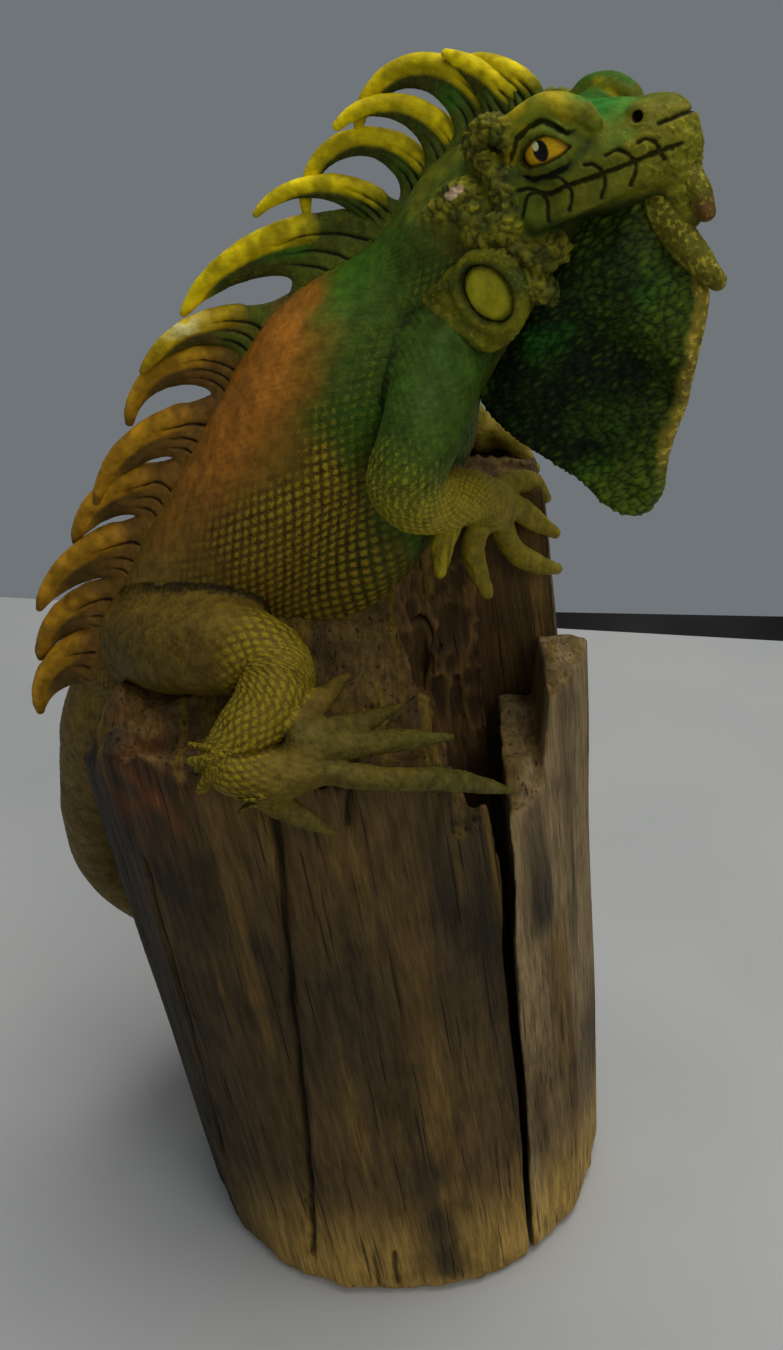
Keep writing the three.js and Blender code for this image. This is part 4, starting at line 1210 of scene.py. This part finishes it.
def add_blade(k, material):
    t, spots, angle, half = blade_course(k)
    name = "crest_blade_%02d" % (k + 1)
    back = spots[0] - BLADE_ROOT * np.array([math.cos(angle[0]), math.sin(angle[0])])
    stations = [(back[0], crest_swing(back[0]), back[1], BLADE_THICK * 1.3, half[0] * 1.15)]
    sway = -BLADE_SWAY if k % 2 else BLADE_SWAY
    for here, (x, z), wide in zip(t, spots, half):
        thick, wide = BLADE_THICK * (1 - 0.62 * here ** 1.6), max(wide, 0.9)
        stations.append((x, crest_swing(x) + sway * here, z, min(thick, wide), wide))
    web = Tube(stations, count=56)
    outer = np.stack([np.sin(angle), -np.cos(angle)], 1)
    edge = [(x + ox * wide * 0.62, crest_swing(x) + sway * here - 0.6, z + oz * wide * 0.62,
             1.2 + 0.30 * wide, 1.2 + 0.30 * wide)
            for here, (x, z), (ox, oz), wide in zip(t[3:], spots[3:], outer[3:], half[3:])]
    edge[-1] = (*edge[-1][:3], 0.9, 0.9)
    roll = Tube(edge, count=44)

    def shape(p):
        d = join(web(p), roll(p), 2.0)
        return np.maximum(join(d, TORSO_FLESH(p), 9), d - 5.0)

    def finish(p, n):
        along, _, b, _, _, h = web.place(p)
        part = np.clip((along - BLADE_ROOT) / (web.length - BLADE_ROOT), -0.3, 1)
        across = b / np.maximum(h, 1)
        fine = speckle(p, 1.4, k)
        root = 1 - rise(part, 0.15, 0.5)
        lines = 0
        for offset in (-0.55, -0.1, 0.4):
            wander = 0.12 * noise(p, 9, k + 3)
            lines = np.maximum(lines, groove((across - offset - wander) * np.maximum(h, 3), 0.55))
        lines = lines * root * rise(part, -0.28, -0.1)
        outer_side = rise(-roll(p), -1.6, -0.2)
        warm = rise(k, 5.5, 8.5)
        base = blend(blend(GREEN, OLIVE, 0.35), blend(BROWN, swatch(70, 58, 26), 0.5), warm)
        paint = np.broadcast_to(base, (len(p), 3))
        paint = blend(paint, BRIGHT_GREEN, rise(noise(p, 12, 4), 0.0, 0.7) * (1 - warm) * 0.8)
        streak = rise(noise(p, (7, 7, 7), k) + 0.6 * noise(p, 2.5, k + 1), -0.5, 0.5)
        gold = blend(swatch(160, 142, 6), swatch(128, 92, 20), warm)
        gold = gold * (0.72 + 0.45 * streak)[:, None]
        lit = np.clip(outer_side * rise(part, 0.05, 0.35) + rise(part, 0.6 + 0.15 * (1 - warm), 0.95), 0, 1)
        paint = blend(paint, gold, lit * 0.95)
        paint = blend(paint, swatch(62, 42, 22), rise(part, 0.9, 1.0) * warm * 0.7)
        # painted shadow: the blade's face away from its rolled edge is darkened, except where lit
        paint = blend(paint, swatch(30, 30, 16), (1 - outer_side) * rise(part, 0.25, 0.5) * (1 - lit) * 0.6)
        if k == PALE_CHIP_ON:
            chip = rise(outer_side, 0.7, 0.95) * hill(part, 0.55, 0.12) * rise(noise(p, 3, 2) + 0.4, 0, 0.4)
            paint = blend(paint, swatch(168, 162, 140), chip)
        offset = -0.9 * lines + 0.22 * fine + 0.3 * noise(p, 6, k)
        relief = 0.5 + 0.28 * fine - 0.75 * lines
        return offset, dict(paint=paint, brush=gold, dry=0.15 + 0.5 * lit, relief=relief)

    places = np.array([station[:3] for station in stations])
    sculpt(name + "_skin", name, shape, places.min(0) - 15, places.max(0) + 15, 0.6, finish, material)


# ---- stage ----
CAMERA = dict(place=(-0.007, -0.4877, 0.5802), down=math.radians(32.5), lens=25.72, sensor=24, near=0.01)
GREY_ROOM = (0.162, 0.178, 0.191, 1)


def add_camera():
    camera = link("camera", bpy.data.cameras.new("camera"))
    camera.location = CAMERA["place"]
    camera.rotation_euler = (math.pi / 2 - CAMERA["down"], 0, 0)
    camera.data.sensor_fit = "VERTICAL"
    camera.data.sensor_height = CAMERA["sensor"]
    camera.data.lens = CAMERA["lens"]
    camera.data.clip_start = CAMERA["near"]
    bpy.context.scene.camera = camera


def add_sheet(name, level, far_left, far_right, dark, light):
    """A wide flat sheet whose far edge runs askew from one distance at the left to another at the right."""
    wide, ahead = 3.0, 3.0
    corners = [(-wide, -ahead, level), (wide, -ahead, level), (wide, far_right, level),
               (-wide, far_left, level)]
    mesh = bpy.data.meshes.new(name)
    mesh.from_pydata(corners, [], [(0, 1, 2, 3)])
    g = Graph(name)
    colour = g.mix(dark, light, g.span(g.noise(140, 2), 0.3, 0.7))
    mesh.materials.append(g.finish(colour, 0.95, g.bump(g.noise(1.2, 2), 0.2, 0.2), specular=0.1))
    link(name, mesh)


def add_light(name, place, target, size, power, colour):
    light = link(name, bpy.data.lights.new(name, "AREA"))
    light.data.shape = "DISK"
    light.data.size = size
    light.data.energy = power
    light.data.color = colour
    light.location = place
    light.rotation_euler = (Vector(target) - Vector(place)).to_track_quat("-Z", "Y").to_euler()


def add_surroundings():
    add_sheet("cloth", 0, 0.84, 0.17, (0.55, 0.555, 0.545), (0.59, 0.59, 0.575))
    # a dark sheet for the shade in the gap between the cloth and the wall behind
    add_sheet("gap", -0.002, 0.64, 0.41, (0.015, 0.014, 0.016), (0.03, 0.03, 0.03))
    world = bpy.data.worlds.new("room")
    world.use_nodes = True
    world.node_tree.nodes["Background"].inputs["Color"].default_value = GREY_ROOM
    bpy.context.scene.world = world
    bpy.context.scene.view_settings.view_transform = "Standard"
    add_light("overhead", (0.25, 0.1, 1.9), (0, 0, 0.2), 1.4, 16, (1.0, 0.99, 0.96))
    add_light("front", (0.8, -1.5, 1.5), (0, 0, 0.25), 1.2, 7, (1.0, 0.98, 0.95))


# ---- assembly ----
def main():
    add_camera()
    add_surroundings()

    wood = weathered_wood("weathered_wood")
    pale_wood = weathered_wood("split_wood", 1.1)
    sculpt("log_trunk_wood", "log_trunk", trunk_shape, (-150, -102, -4), (104, 102, 366), (1.15, 1.15, 2.4),
           log_finish, wood)
    sculpt("log_stave_wood", "log_stave", stave_shape, (10, -102, -4), (104, 6, 310), (0.9, 0.9, 2.2),
           lambda p, n: log_finish(p, n, 1.0), pale_wood)

    skin = painted_skin("body_paint")
    sculpt("torso_skin", "torso", torso_shape, (-150, -62, 226), (66, 52, 494), 0.85, torso_finish, skin)
    sculpt("tail_skin", "tail", TAIL_FLESH, (-162, -30, 28), (62, 122, 312), 1.0, tail_finish, skin)
    for name in LIMBS:
        add_limb(name, skin)

    head_paint = painted_skin("head_paint", grain=0.55, shine=0.5)
    sculpt("head_skin", "head", head_shape, (-52, -40, -46), (60, 40, 32), 0.5, head_finish, head_paint,
           True)
    eye_paint = glossy_eye("eye_paint")
    add_eye(-1, "eye_right", eye_paint)
    add_eye(1, "eye_left", eye_paint)
    for side, label in ((-1, "right"), (1, "left")):
        low, high = ((-47, -40, -46), (-1, -18, -5)) if side < 0 else ((-47, 18, -46), (-1, 40, -5))
        sculpt("cheek_flap_%s_skin" % label, "cheek_flap_" + label, flap_shape, low, high, 0.45, flap_finish,
               head_paint, True)
        sculpt("cheek_shield_%s_skin" % label, "cheek_shield_" + label, shield_shape, low, high, 0.4,
               shield_finish, head_paint, True)
    for name in SPIKES:
        add_spike(name, head_paint)
    sculpt("dewlap_skin", "dewlap", dewlap_shape, (-62, -26, -120), (44, 26, 0), 0.65, dewlap_finish,
           head_paint, True)
    crest_paint = painted_skin("crest_paint", grain=0.8, shine=0.5)
    for k in range(len(CREST)):
        add_blade(k, crest_paint)

    # The pieces inside keep their CAD shapes and take finishes of their own.
    dowel_wood = plain_procedural("dowel_wood", (0.36, 0.24, 0.13), (0.52, 0.37, 0.22), 1.2, 0.6, along=14.0)
    paste = plain_procedural("core_paste", (0.50, 0.47, 0.40), (0.66, 0.63, 0.56), 3.0, 0.9)
    steel = plain_procedural("steel_wire", (0.32, 0.32, 0.33), (0.50, 0.50, 0.51), 0.8, 0.42, 1.0)
    for node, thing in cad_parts.items():
        material = dowel_wood if node == "mounting_dowel" else paste if node == "torso_core" else \
            steel if node.endswith("wire") else None
        if material:
            thing.data.materials.clear()
            thing.data.materials.append(material)


main()
